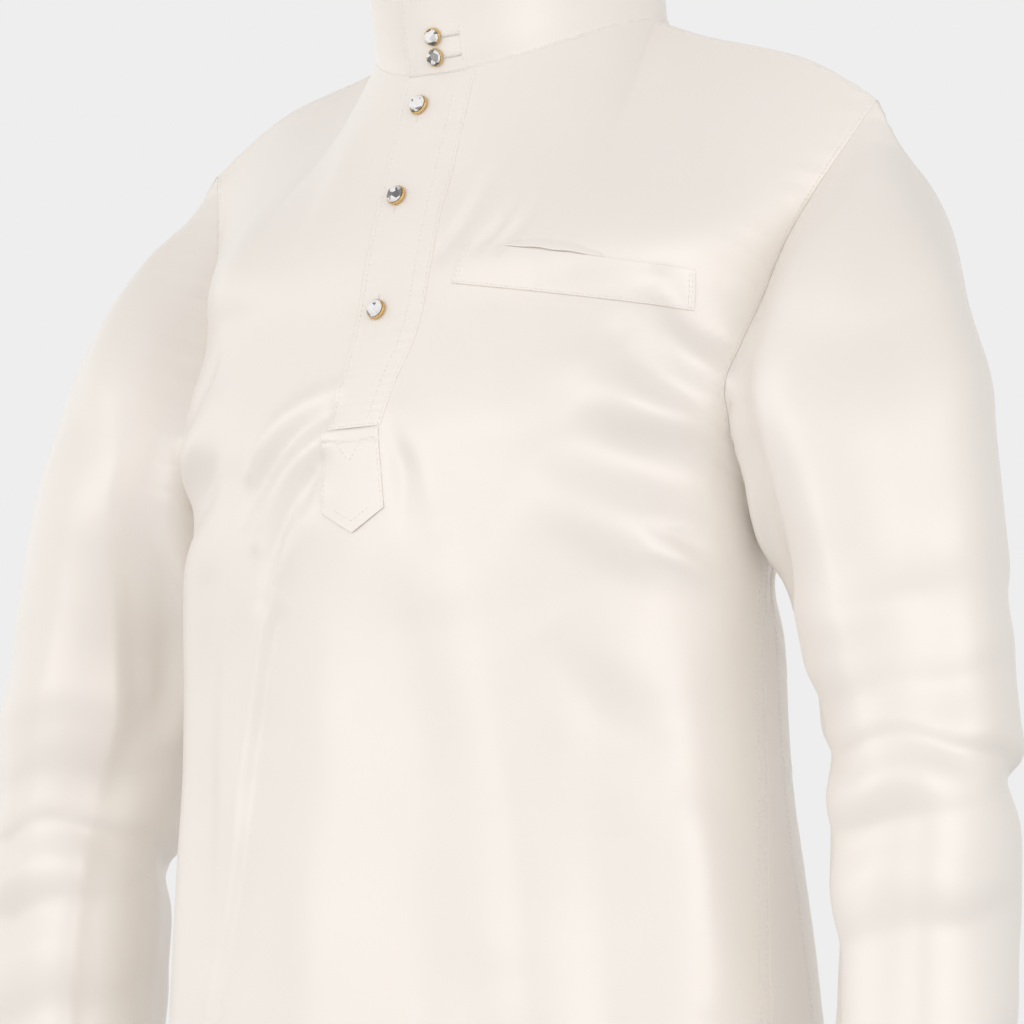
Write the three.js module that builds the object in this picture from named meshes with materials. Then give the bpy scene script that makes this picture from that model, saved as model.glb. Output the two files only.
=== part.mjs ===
// A worn satin baju melayu: a tunic with a stand collar, placket, studs and side gores,
// and its plain matching trousers. Millimetres, +X to the wearer's left, -Y to the front,
// +Z up. The origin lies midway between the two points where the shoulder seams meet the neck.

import * as THREE from 'three';

// Rows of numbers with named columns
function table(names, rows) {
  const keys = names.split(' ');
  return rows.map((row) => Object.fromEntries(row.map((value, i) => [keys[i], value])));
}

// Driving sizes
const CLOTH = 1.6;
const COLLAR_CLOTH = 2.4;
const TRIM_CLOTH = 1.3;
const SEAM_GAP = 0.3;
const LAY_GAP = 0.8;

// Grid counts
const HALF_COLUMNS = 12;
const NECK_COLUMNS = 6;
const BODY_ROWS = 14;
const ARMHOLE_ROWS = 12;
const GORE_COLUMNS = 2;
const SLEEVE_ROWS = 18;
const COLLAR_COLUMNS = 44;
const COLLAR_ROWS = 3;
const LEG_COLUMNS = 16;
const LEG_ROWS = 14;
const BAND_COLUMNS = 28;

// Neck, collar and shoulders
const NECK = { halfWidth: 82, front: -98, back: 58, frontZ: -36, backZ: 14 };
const SHOULDER_TIP = { x: 225, y: 8, z: -58 };
const COLLAR = { height: 42, forward: 8, lap: 13, tuck: 16, step: 3.4, lift: 0.5 };

// The body of the tunic below the arms, one row for each level, from the hem up.
// a and b are half widths across and front to back, y the centre, front and back
// the places of the two side seams in degrees from the side towards the back.
const BODY = [
  { z: -752, a: 212, b: 128, y: -30, front: -13, back: 9 },
  { z: -650, a: 204, b: 123, y: -34, front: -10, back: 8 },
  { z: -549, a: 196, b: 118, y: -38, front: -6, back: 8 },
  { z: -437, a: 184, b: 111, y: -44, front: 1, back: 9 },
  { z: -370, a: 181, b: 109, y: -47, front: 3, back: 10 },
  { z: -302, a: 181, b: 110, y: -50, front: 6, back: 13 },
];
const BODY_ROUND = 2.3;

// Levels above the underarm, from the armhole's foot to the shoulder. cz and cy are the
// centre line, x, y and z the point on the armhole, wrap how far the curve turns.
const FRONT_YOKE = [
  { cz: -268, cy: -160, x: 182, y: -62, z: -262, wrap: 0.97 },
  { cz: -238, cy: -158, x: 183, y: -80, z: -226, wrap: 0.95 },
  { cz: -178, cy: -143, x: 187, y: -49, z: -173, wrap: 0.94 },
  { cz: -122, cy: -128, x: 197, y: -30, z: -128, wrap: 0.92 },
];
const BACK_YOKE = [
  { cz: -258, cy: 66, x: 181, y: 26, z: -258, wrap: 0.95 },
  { cz: -212, cy: 71, x: 182, y: 46, z: -208, wrap: 0.93 },
  { cz: -158, cy: 75, x: 190, y: 46, z: -152, wrap: 0.9 },
  { cz: -98, cy: 73, x: 207, y: 30, z: -98, wrap: 0.86 },
];

// The sleeve, one row for each ring: its outermost and innermost point, its middle from
// front to back, half its depth, and how much it is pinched into a web under the arm.
const SLEEVE = [
  { outX: 250, outY: 2, outZ: -98, inX: 187, inZ: -312, y: -18, depth: 70, pinch: 0.1 },
  { outX: 281, outY: -12, outZ: -150, inX: 194, inZ: -330, y: -24, depth: 70, pinch: 0.35 },
  { outX: 306, outY: -22, outZ: -215, inX: 201, inZ: -352, y: -28, depth: 66, pinch: 0.5 },
  { outX: 322, outY: -28, outZ: -300, inX: 210, inZ: -384, y: -31, depth: 62, pinch: 0.5 },
  { outX: 334, outY: -33, outZ: -385, inX: 222, inZ: -420, y: -34, depth: 58, pinch: 0.3 },
  { outX: 338, outY: -37, outZ: -470, inX: 233, inZ: -478, y: -37, depth: 53, pinch: 0 },
  { outX: 337, outY: -41, outZ: -560, inX: 238, inZ: -562, y: -40, depth: 49, pinch: 0 },
  { outX: 335, outY: -44, outZ: -656, inX: 244, inZ: -656, y: -43, depth: 45, pinch: 0 },
];

// The largest folds in the cloth of the tunic, seen from the front (-1) or the back (1). Each
// runs down from one place to another and bows towards -X. left and right are its half
// widths on its -X and +X side, and a trough has a negative height.
const FOLDS = table('facing x1 z1 x2 z2 bow left right height', [
  [-1, 118, -236, 182, -290, 6, 15, 14, -7],
  [-1, 96, -262, 181, -318, 8, 15, 14, 6],
  [-1, 92, -292, 176, -348, 8, 18, 15, -6],
  [-1, 60, -318, 160, -392, 8, 20, 16, 4],
  [-1, -28, -222, -97, -276, 8, 14, 14, 4],
  [-1, -31, -240, -90, -300, 7, 14, 14, -4],
  [-1, -44, -282, -90, -420, 5, 14, 28, -4],
  [-1, -88, -412, -119, -551, -3, 14, 30, -5],
  [-1, -118, -545, -152, -745, 3, 14, 34, -5],
  [-1, 56, -340, 96, -560, -6, 24, 20, 5],
  [-1, 94, -540, 112, -745, -3, 26, 22, 6],
  [-1, 104, -352, 168, -440, 6, 16, 20, -5],
  [-1, 128, -430, 152, -745, -4, 18, 20, -6],
  [-1, 22, -360, 40, -745, 4, 30, 26, -4],
  [-1, -30, -360, -52, -745, 4, 22, 26, 4],
  [-1, -150, -290, -158, -745, 5, 16, 18, 4],
  [-1, -112, -236, -180, -300, -5, 14, 14, -6],
  [1, 108, -198, 172, -234, 5, 14, 14, -6],
  [1, 96, -230, 170, -280, 6, 15, 14, 5],
  [1, 84, -268, 152, -310, 6, 16, 15, -5],
  [1, -106, -192, -172, -230, -5, 14, 14, -6],
  [1, -98, -226, -170, -276, -6, 14, 15, 5],
  [1, -88, -262, -156, -312, -6, 15, 16, -5],
  [1, 52, -360, 74, -745, 6, 26, 22, 6],
  [1, -60, -370, -96, -745, -6, 22, 28, 7],
  [1, -6, -380, 10, -745, -4, 22, 26, -6],
  [1, 118, -400, 134, -745, 4, 20, 16, -5],
  [1, -128, -420, -140, -745, 4, 16, 18, -5],
]);

// How far out the body's folds run: whole up to here, and gone at the armholes
const FOLDS_END = { whole: 150, gone: 178 };

// Folds round each sleeve: level of the fold in front and behind, half width and height
const SLEEVE_FOLDS = table('front rear width height', [
  [-250, -200, 20, -4],
  [-318, -352, 18, -4],
  [-424, -448, 18, -6],
  [-468, -432, 16, 4],
  [-508, -520, 18, -4],
  [-575, -560, 20, 3],
]);

// Folds along each sleeve: where round it they start and end (0 outside, 0.25 in front, 0.5
// inside), levels, half widths towards the outside and the inside, and height
const SLEEVE_LINES = table('turn1 z1 turn2 z2 outside inside height', [
  [0.235, -140, 0.345, -380, 34, 14, 7],
  [0.79, -130, 0.69, -390, 14, 30, 7],
]);
const SLEEVE_GIRTH = 320;
const SLEEVE_FADE = 34;
const SLEEVE_FREE = { from: 205, to: 250 };

// The placket, its pointed tab and the pocket's welt, all laid on the front panel
const PLACKET = [
  { z: -41, left: -18, right: 27 },
  { z: -100, left: -18, right: 26 },
  { z: -180, left: -19, right: 25 },
  { z: -215, left: -24, right: 15 },
  { z: -241, left: -28, right: 8 },
];
const PLACKET_ROWS = 22;
const PLACKET_COLUMNS = 5;
const TAB = {
  left: -31, rightTop: 7, rightFoot: 12, top: -242, corner: -287, point: -299.5, rows: 6, columns: 4,
};
const WELT = {
  innerX: 47, innerZ: -139.5, outerX: 165, outerZ: -159, height: 23, slant: 6, columns: 16, rows: 3,
};

// Studs: a gold cup holding a faceted crystal
const STUD = { radius: 5.7, cupHeight: 2.2, recess: 1.2, rim: 0.9, crystal: 3.4, sides: 12 };
const COLLAR_STUD_SCALE = 0.88;
const COLLAR_STUDS = { place: 3.965, levels: [0.46, 0.21] };
const PLACKET_STUDS = [{ x: -3, z: -55 }, { x: -5, z: -108 }, { x: -5, z: -174 }];

// Trousers, one row for each level: centre and half width of a leg, half depth, middle.
// Where the half width passes the centre, the two legs meet at the middle of the body.
const TROUSERS = [
  { z: -1430, x: 106, a: 70, b: 73, y: -40 },
  { z: -1300, x: 104, a: 74, b: 77, y: -40 },
  { z: -1060, x: 101, a: 82, b: 86, y: -40 },
  { z: -850, x: 97, a: 92, b: 98, y: -38 },
  { z: -720, x: 94.5, a: 94, b: 102, y: -36 },
  { z: -690, x: 78, a: 104, b: 102, y: -36 },
  { z: -640, x: 44, a: 128, b: 100, y: -36 },
  { z: -580, x: 12, a: 152, b: 96, y: -37 },
  { z: -510, x: 0, a: 150, b: 88, y: -40 },
];
const WAISTBAND = { top: -472, a: 146, b: 86, y: -40, rows: 3 };

const MATERIALS = {
  satin: new THREE.MeshStandardMaterial({ color: 0xf3ece2, roughness: 0.42, metalness: 0 }),
  gold: new THREE.MeshStandardMaterial({ color: 0xc9a24a, roughness: 0.25, metalness: 1 }),
  crystal: new THREE.MeshStandardMaterial({ color: 0xe9eef2, roughness: 0.05, metalness: 0.1 }),
};

const radians = THREE.MathUtils.degToRad;

// Curves and grids

function catmull(p0, p1, p2, p3, t) {
  const t2 = t * t;
  const t3 = t2 * t;
  const keep = (2 * p1) + (p2 - p0) * t;
  return 0.5 * (keep + (2 * p0 - 5 * p1 + 4 * p2 - p3) * t2 + (3 * p1 - p0 - 3 * p2 + p3) * t3);
}

// Reads a table of rows at a place between its first row (0) and last row (1).
function readTable(table, place) {
  const span = THREE.MathUtils.clamp(place, 0, 1) * (table.length - 1);
  const at = Math.min(Math.floor(span), table.length - 2);
  const rows = [-1, 0, 1, 2].map((step) => {
    return table[THREE.MathUtils.clamp(at + step, 0, table.length - 1)];
  });
  const row = {};
  for (const key of Object.keys(table[0])) {
    row[key] = catmull(rows[0][key], rows[1][key], rows[2][key], rows[3][key], span - at);
  }
  return row;
}

// Even points along a curve given as a function of 0 to 1
function evenPoints(curve, count, dense = 90) {
  const line = [];
  for (let i = 0; i <= dense; i += 1) {
    line.push(curve(i / dense));
  }
  const lengths = [0];
  for (let i = 1; i <= dense; i += 1) {
    lengths.push(lengths[i - 1] + line[i].distanceTo(line[i - 1]));
  }
  const points = [];
  let at = 0;
  for (let i = 0; i <= count; i += 1) {
    const goal = (lengths[dense] * i) / count;
    while (at < dense - 1 && lengths[at + 1] < goal) {
      at += 1;
    }
    const share = (goal - lengths[at]) / (lengths[at + 1] - lengths[at]);
    points.push(line[at].clone().lerp(line[at + 1], share));
  }
  return points;
}

// Rows of points carried through a few rails, smooth from rail to rail
function loft(rails, rowCounts) {
  const grid = [];
  for (let k = 0; k < rails.length - 1; k += 1) {
    const last = k === rails.length - 2;
    const before = rails[Math.max(k - 1, 0)];
    const after = rails[Math.min(k + 2, rails.length - 1)];
    for (let r = 0; r < rowCounts[k] + (last ? 1 : 0); r += 1) {
      const t = r / rowCounts[k];
      grid.push(rails[k].map((p, i) => new THREE.Vector3(
        catmull(before[i].x, p.x, rails[k + 1][i].x, after[i].x, t),
        catmull(before[i].y, p.y, rails[k + 1][i].y, after[i].y, t),
        catmull(before[i].z, p.z, rails[k + 1][i].z, after[i].z, t),
      )));
    }
  }
  return grid;
}

// Outward direction at each point of a grid; round says that its rows close on themselves.
function gridNormals(grid, round) {
  const rows = grid.length;
  const columns = grid[0].length;
  return grid.map((row, r) => row.map((p, c) => {
    const left = round ? row[(c + columns - 1) % columns] : row[Math.max(c - 1, 0)];
    const right = round ? row[(c + 1) % columns] : row[Math.min(c + 1, columns - 1)];
    const up = grid[Math.min(r + 1, rows - 1)][c];
    const down = grid[Math.max(r - 1, 0)][c];
    return right.clone().sub(left).cross(up.clone().sub(down)).normalize();
  }));
}

// One name for all points at the same place, to 0.02 mm
function keyOf(p) {
  return `${Math.round(p.x * 50)},${Math.round(p.y * 50)},${Math.round(p.z * 50)}`;
}

// Where panels share a seam, they share one direction there too.
function shareSeams(panels) {
  const sums = new Map();
  for (const panel of panels) {
    panel.normals = gridNormals(panel.grid, panel.round);
    panel.grid.forEach((row, r) => row.forEach((p, c) => {
      const sum = sums.get(keyOf(p)) ?? new THREE.Vector3();
      sums.set(keyOf(p), sum.add(panel.normals[r][c]));
    }));
  }
  for (const panel of panels) {
    panel.normals = panel.grid.map((row) => row.map((p) => {
      return sums.get(keyOf(p)).clone().normalize();
    }));
  }
}

// A closed wall: the outer grid, the same points moved inwards, and the rims between.
function wallGeometry(outer, inner, round) {
  const rows = outer.length;
  const columns = outer[0].length;
  const positions = [];
  for (const grid of [outer, inner]) {
    for (const row of grid) {
      row.forEach((p) => positions.push(p.x, p.y, p.z));
    }
  }
  const index = [];
  const shift = rows * columns;
  const id = (r, c) => r * columns + (c % columns);
  const quad = (a, b, c, d) => index.push(a, b, c, a, c, d);
  // A rim's square is cut along its shorter diagonal, as on the piece across the seam.
  const rim = (a, b, c, d) => {
    const [pa, pb, pc, pd] = [a, b, c, d].map((i) => new THREE.Vector3().fromArray(positions, 3 * i));
    quad(...(pa.distanceTo(pc) > pb.distanceTo(pd) ? [b, c, d, a] : [a, b, c, d]));
  };
  const spans = round ? columns : columns - 1;
  for (let r = 0; r < rows - 1; r += 1) {
    for (let c = 0; c < spans; c += 1) {
      quad(id(r, c), id(r, c + 1), id(r + 1, c + 1), id(r + 1, c));
      quad(shift + id(r, c), shift + id(r + 1, c), shift + id(r + 1, c + 1), shift + id(r, c + 1));
    }
    if (!round) {
      const e = columns - 1;
      rim(id(r, 0), id(r + 1, 0), shift + id(r + 1, 0), shift + id(r, 0));
      rim(id(r + 1, e), id(r, e), shift + id(r, e), shift + id(r + 1, e));
    }
  }
  for (let c = 0; c < spans; c += 1) {
    const top = rows - 1;
    rim(id(0, c + 1), id(0, c), shift + id(0, c), shift + id(0, c + 1));
    rim(id(top, c), id(top, c + 1), shift + id(top, c + 1), shift + id(top, c));
  }
  const geometry = new THREE.BufferGeometry();
  geometry.setAttribute('position', new THREE.Float32BufferAttribute(positions, 3));
  geometry.setIndex(index);
  geometry.computeVertexNormals();
  return geometry;
}

// Pulls a grid's rim in from a seam, so that the pieces don't share a face there.
function pullFromSeams({ grid, round }) {
  const rows = grid.length;
  const columns = grid[0].length;
  const pulled = grid.map((row) => row.map((p) => p.clone()));
  const pull = (r, c, nextR, nextC) => {
    const step = grid[nextR][nextC].clone().sub(grid[r][c]).setLength(SEAM_GAP);
    pulled[r][c].add(step);
  };
  for (let c = 0; c < columns; c += 1) {
    pull(0, c, 1, c);
    pull(rows - 1, c, rows - 2, c);
  }
  if (!round) {
    for (let r = 0; r < rows; r += 1) {
      pull(r, 0, r, 1);
      pull(r, columns - 1, r, columns - 2);
    }
  }
  return pulled;
}

function panelMesh(name, panel, thickness) {
  const outer = pullFromSeams(panel);
  const inner = outer.map((row, r) => row.map((p, c) => {
    return p.clone().addScaledVector(panel.normals[r][c], -thickness);
  }));
  return named(name, wallGeometry(outer, inner, panel.round), MATERIALS.satin);
}

function named(name, geometry, material) {
  const mesh = new THREE.Mesh(geometry, material);
  mesh.name = name;
  return mesh;
}

function mirrorX(grid) {
  return grid.map((row) => row.map((p) => new THREE.Vector3(-p.x, p.y, p.z)).reverse());
}

// The tunic's body

function bodyPoint(row, degrees) {
  const t = radians(degrees);
  const power = 2 / BODY_ROUND;
  const x = Math.sign(Math.cos(t)) * Math.abs(Math.cos(t)) ** power;
  const y = Math.sign(Math.sin(t)) * Math.abs(Math.sin(t)) ** power;
  return new THREE.Vector3(row.a * x, row.y + row.b * y, row.z);
}

// A rail from the wearer's right seam to the left one, over the front or the back
function bodyRail(row, facing) {
  const seam = facing < 0 ? row.front : row.back;
  const middle = 90 * facing;
  const half = evenPoints((t) => {
    return bodyPoint(row, THREE.MathUtils.lerp(middle, seam, t));
  }, HALF_COLUMNS);
  return wholeRail(half);
}

// Turns the half of a rail on the wearer's left into the whole rail.
function wholeRail(half) {
  const other = half.slice(1).reverse().map((p) => new THREE.Vector3(-p.x, p.y, p.z));
  return [...other, ...half];
}

function yokeRail(row) {
  const bend = (s) => 1 - (1 - s ** BODY_ROUND) ** (1 / BODY_ROUND);
  const half = evenPoints((s) => {
    const y = row.cy + ((row.y - row.cy) * bend(row.wrap * s)) / bend(row.wrap);
    return new THREE.Vector3(row.x * s, y, row.cz + (row.z - row.cz) * s * s);
  }, HALF_COLUMNS);
  return wholeRail(half);
}

// A point of the neckline: 0 is the centre front, 1 the shoulder, 2 the centre back.
function neckPoint(turn) {
  const t = (turn * Math.PI) / 2;
  const depth = turn < 1 ? NECK.front : NECK.back;
  const drop = turn < 1 ? NECK.frontZ : NECK.backZ;
  const fall = Math.abs(Math.cos(t));
  return new THREE.Vector3(NECK.halfWidth * Math.sin(t), depth * fall, drop * fall ** 1.5);
}

// The neckline and the shoulder seam, in one rail
function topRail(facing) {
  const neck = evenPoints((t) => neckPoint(facing < 0 ? t : 2 - t), NECK_COLUMNS);
  const tip = new THREE.Vector3(SHOULDER_TIP.x, SHOULDER_TIP.y, SHOULDER_TIP.z);
  const seam = evenPoints((t) => {
    const p = neckPoint(1).lerp(tip, t);
    p.z += 7 * Math.sin(Math.PI * t) - 3 * Math.sin(2 * Math.PI * t);
    return p;
  }, HALF_COLUMNS - NECK_COLUMNS);
  return wholeRail([...neck, ...seam.slice(1)]);
}

// How many rows each stretch between rails takes
function spread(levels, total) {
  const span = levels[levels.length - 1] - levels[0];
  const ends = levels.map((level) => Math.round(((level - levels[0]) / span) * total));
  return ends.slice(1).map((end, i) => end - ends[i]);
}

function bodyPanel(facing) {
  const yoke = facing < 0 ? FRONT_YOKE : BACK_YOKE;
  const lower = BODY.map((row) => bodyRail(row, facing));
  const upper = yoke.map(yokeRail);
  const rails = [...lower, ...upper, topRail(facing)];
  const lowCounts = spread(BODY.map((row) => row.z), BODY_ROWS);
  const foot = BODY[BODY.length - 1].z;
  const highCounts = spread([foot, ...yoke.map((row) => row.z), SHOULDER_TIP.z], ARMHOLE_ROWS);
  return { grid: loft(rails, [...lowCounts, ...highCounts]), round: false, facing };
}

// The side gore fills the space between the front's and the back's side edges.
function sideGore(front, back) {
  const last = front.grid[0].length - 1;
  const grid = [];
  for (let r = 0; r <= BODY_ROWS; r += 1) {
    const from = front.grid[r][last];
    const to = back.grid[r][last];
    const bow = from.distanceTo(to) * 0.02;
    grid.push(Array.from({ length: GORE_COLUMNS + 1 }, (_, c) => {
      const t = c / GORE_COLUMNS;
      const p = from.clone().lerp(to, t);
      p.x += bow * Math.sin(Math.PI * t);
      return p;
    }));
  }
  return { grid, round: false };
}

// The sleeve's first ring follows the armhole: down the front edge, over the gore's top
// edge, and up the back edge to the shoulder tip.
function armholeRing(front, back, gore) {
  const last = front.grid[0].length - 1;
  const ring = [];
  for (let r = front.grid.length - 1; r >= BODY_ROWS; r -= 1) {
    ring.push(front.grid[r][last].clone());
  }
  for (let c = 1; c < GORE_COLUMNS; c += 1) {
    ring.push(gore.grid[BODY_ROWS][c].clone());
  }
  for (let r = BODY_ROWS; r < back.grid.length - 1; r += 1) {
    ring.push(back.grid[r][last].clone());
  }
  return ring;
}

function sleeveRing(row, turns) {
  const outer = new THREE.Vector3(row.outX, row.outY, row.outZ);
  const inner = new THREE.Vector3(row.inX, 2 * row.y - row.outY, row.inZ);
  const middle = outer.clone().add(inner).multiplyScalar(0.5);
  const along = outer.sub(middle);
  return turns.map((turn) => {
    const t = turn * 2 * Math.PI;
    const narrow = 1 - row.pinch * Math.max(0, -Math.cos(t)) ** 1.4;
    const p = middle.clone().addScaledVector(along, Math.cos(t));
    p.y -= row.depth * Math.sin(t) * narrow;
    return p;
  });
}

function sleevePanel(front, back, gore) {
  const armhole = armholeRing(front, back, gore);
  const lengths = [0];
  armhole.forEach((p, i) => lengths.push(lengths[i] + p.distanceTo(armhole[(i + 1) % armhole.length])));
  const turns = armhole.map((_, i) => lengths[i] / lengths[armhole.length]);
  const rings = SLEEVE.map((row) => sleeveRing(row, turns));
  const rails = [armhole, ...rings].map((ring) => ring.reverse());
  const levels = [-30, ...SLEEVE.map((row) => row.outZ)].map((z) => -z);
  const rows = loft(rails, spread(levels, SLEEVE_ROWS));
  return { grid: rows.reverse(), round: true, turns: turns.reverse() };
}

// Height of the folds that run along lines on the front or the back
function bodyFold(p, normal) {
  let height = 0;
  for (const fold of FOLDS) {
    const dx = fold.x2 - fold.x1;
    const dz = fold.z2 - fold.z1;
    const length = Math.hypot(dx, dz);
    const t = ((p.x - fold.x1) * dx + (p.z - fold.z1) * dz) / length ** 2;
    const held = THREE.MathUtils.clamp(t, 0, 1);
    const over = ((t - held) * length) / Math.max(fold.left, fold.right);
    const straight = ((p.x - fold.x1) * dz - (p.z - fold.z1) * dx) / length;
    const side = straight - fold.bow * 4 * held * (1 - held);
    const away = side / (side > 0 ? fold.left : fold.right);
    const fade = 0.4 + 0.6 * Math.sin(Math.PI * THREE.MathUtils.clamp(held, 0.06, 0.94));
    const share = THREE.MathUtils.smoothstep(normal.y * fold.facing, 0.1, 0.6);
    height += fold.height * fade * share * Math.exp(-(away ** 2 + over ** 2));
  }
  return height * (1 - THREE.MathUtils.smoothstep(Math.abs(p.x), FOLDS_END.whole, FOLDS_END.gone));
}

function ringFold(p, normal) {
  let height = 0;
  for (const fold of SLEEVE_FOLDS) {
    const level = THREE.MathUtils.lerp(fold.rear, fold.front, 0.5 - 0.5 * normal.y);
    height += fold.height * Math.exp(-(((p.z - level) / fold.width) ** 2));
  }
  return height;
}

function longFold(p, turn) {
  let height = 0;
  for (const fold of SLEEVE_LINES) {
    const t = (p.z - fold.z1) / (fold.z2 - fold.z1);
    const held = THREE.MathUtils.clamp(t, 0, 1);
    const at = THREE.MathUtils.lerp(fold.turn1, fold.turn2, held);
    const round = (THREE.MathUtils.euclideanModulo(turn - at + 0.5, 1) - 0.5) * SLEEVE_GIRTH;
    const away = round / (round > 0 ? fold.inside : fold.outside);
    const over = ((t - held) * (fold.z2 - fold.z1)) / SLEEVE_FADE;
    height += fold.height * Math.exp(-(away ** 2) - over ** 2);
  }
  return height;
}

// The sleeve's own folds grow in below the armhole, where the body's folds run out.
function sleeveFold(panel, r, c) {
  const p = panel.grid[r][c];
  const grown = THREE.MathUtils.smoothstep(Math.abs(p.x), SLEEVE_FREE.from, SLEEVE_FREE.to);
  return (ringFold(p, panel.normals[r][c]) + longFold(p, panel.turns[c])) * grown;
}

// Moves the panels' points out by their folds.
function addFolds(panels) {
  shareSeams(panels);
  for (const panel of panels) {
    panel.grid = panel.grid.map((row, r) => row.map((p, c) => {
      const normal = panel.normals[r][c];
      const height = panel.turns ? sleeveFold(panel, r, c) : bodyFold(p, normal);
      return p.clone().addScaledVector(normal, height);
    }));
  }
  shareSeams(panels);
}

// What lies on the front panel

// The panel's point and outward direction at a given X and Z
function frontAt(front, x, z) {
  for (let r = 0; r < front.grid.length - 1; r += 1) {
    for (let c = 0; c < front.grid[0].length - 1; c += 1) {
      const corners = [[r, c], [r, c + 1], [r + 1, c + 1], [r + 1, c]];
      for (const picked of [[0, 1, 2], [0, 2, 3]]) {
        const places = picked.map((i) => corners[i]);
        const [a, b, d] = places.map(([i, j]) => front.grid[i][j]);
        const area = (b.x - a.x) * (d.z - a.z) - (d.x - a.x) * (b.z - a.z);
        const u = ((x - a.x) * (d.z - a.z) - (d.x - a.x) * (z - a.z)) / area;
        const v = ((b.x - a.x) * (z - a.z) - (x - a.x) * (b.z - a.z)) / area;
        if (u >= -1e-6 && v >= -1e-6 && u + v <= 1 + 1e-6) {
          const normal = new THREE.Vector3();
          const shares = [1 - u - v, u, v];
          places.forEach(([i, j], k) => normal.addScaledVector(front.normals[i][j], shares[k]));
          const point = a.clone().multiplyScalar(shares[0]);
          point.addScaledVector(b, u).addScaledVector(d, v);
          return { point, normal: normal.normalize() };
        }
      }
    }
  }
  throw new Error(`the front panel has no point at ${x}, ${z}`);
}

function laidOn(front, name, places) {
  const lift = (height) => places.map((row) => row.map(([x, z]) => {
    const { point, normal } = frontAt(front, x, z);
    return point.addScaledVector(normal, height);
  }));
  const outer = lift(LAY_GAP + TRIM_CLOTH);
  return named(name, wallGeometry(outer, lift(LAY_GAP), false), MATERIALS.satin);
}

function placketBand(front) {
  const places = [];
  for (let r = PLACKET_ROWS; r >= 0; r -= 1) {
    const row = readTable(PLACKET, r / PLACKET_ROWS);
    places.push(Array.from({ length: PLACKET_COLUMNS + 1 }, (_, c) => {
      return [THREE.MathUtils.lerp(row.left, row.right, c / PLACKET_COLUMNS), row.z];
    }));
  }
  return laidOn(front, 'placket_band', places);
}

function placketTab(front) {
  const places = [];
  for (let r = 0; r <= TAB.rows; r += 1) {
    places.push(Array.from({ length: TAB.columns + 1 }, (_, c) => {
      const across = c / TAB.columns;
      const low = TAB.corner + (TAB.point - TAB.corner) * (1 - Math.abs(2 * across - 1));
      const right = THREE.MathUtils.lerp(TAB.rightFoot, TAB.rightTop, r / TAB.rows);
      const x = THREE.MathUtils.lerp(TAB.left, right, across);
      return [x, THREE.MathUtils.lerp(low, TAB.top, r / TAB.rows)];
    }));
  }
  return laidOn(front, 'placket_tab', places);
}

function pocketWelt(front) {
  const places = [];
  for (let r = 0; r <= WELT.rows; r += 1) {
    places.push(Array.from({ length: WELT.columns + 1 }, (_, c) => {
      const t = c / WELT.columns;
      const top = THREE.MathUtils.lerp(WELT.innerZ, WELT.outerZ, t);
      const down = 1 - r / WELT.rows;
      const x = THREE.MathUtils.lerp(WELT.innerX, WELT.outerX, t) - WELT.slant * down * (1 - t);
      return [x, top - WELT.height * down];
    }));
  }
  return laidOn(front, 'pocket_welt', places);
}

// The collar

// Where the collar's cloth runs, in quarter turns from the centre front: it starts tucked
// under on the wearer's left, goes round by the right and the back, and laps over the front.
const COLLAR_START = -COLLAR.tuck / 100;
const COLLAR_END = 4 + COLLAR.lap / 100;

// A point of the collar's outer face at a place in quarter turns and a share of its height
function collarPoint(place, level) {
  const flat = place < 0 ? -place : place > 4 ? place - 4 : Math.min(place, 4 - place);
  const base = neckPoint(flat);
  const onRight = (place > 0 && place < 2) || place > 4;
  base.x *= onRight ? -1 : 1;
  const out = new THREE.Vector3(base.x, base.y, 0).normalize();
  const step = COLLAR.step * THREE.MathUtils.smoothstep(place, 3.1, 3.75);
  base.addScaledVector(out, step);
  base.y -= COLLAR.forward * level;
  base.z += COLLAR.lift + (COLLAR.height - COLLAR.lift) * level;
  return base;
}

function collarGrid() {
  const grid = [];
  for (let r = 0; r <= COLLAR_ROWS; r += 1) {
    grid.push(Array.from({ length: COLLAR_COLUMNS + 1 }, (_, c) => {
      const place = THREE.MathUtils.lerp(COLLAR_END, COLLAR_START, c / COLLAR_COLUMNS);
      return collarPoint(place, r / COLLAR_ROWS);
    }));
  }
  return grid;
}

function collarBand() {
  const grid = collarGrid();
  const normals = gridNormals(grid, false);
  const inner = grid.map((row, r) => row.map((p, c) => {
    const flat = normals[r][c].setZ(0).normalize();
    const outward = flat.dot(new THREE.Vector3(p.x, p.y, 0)) > 0 ? 1 : -1;
    return p.clone().addScaledVector(flat, -outward * COLLAR_CLOTH);
  }));
  return named('collar_band', wallGeometry(grid, inner, false), MATERIALS.satin);
}

// Studs

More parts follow.
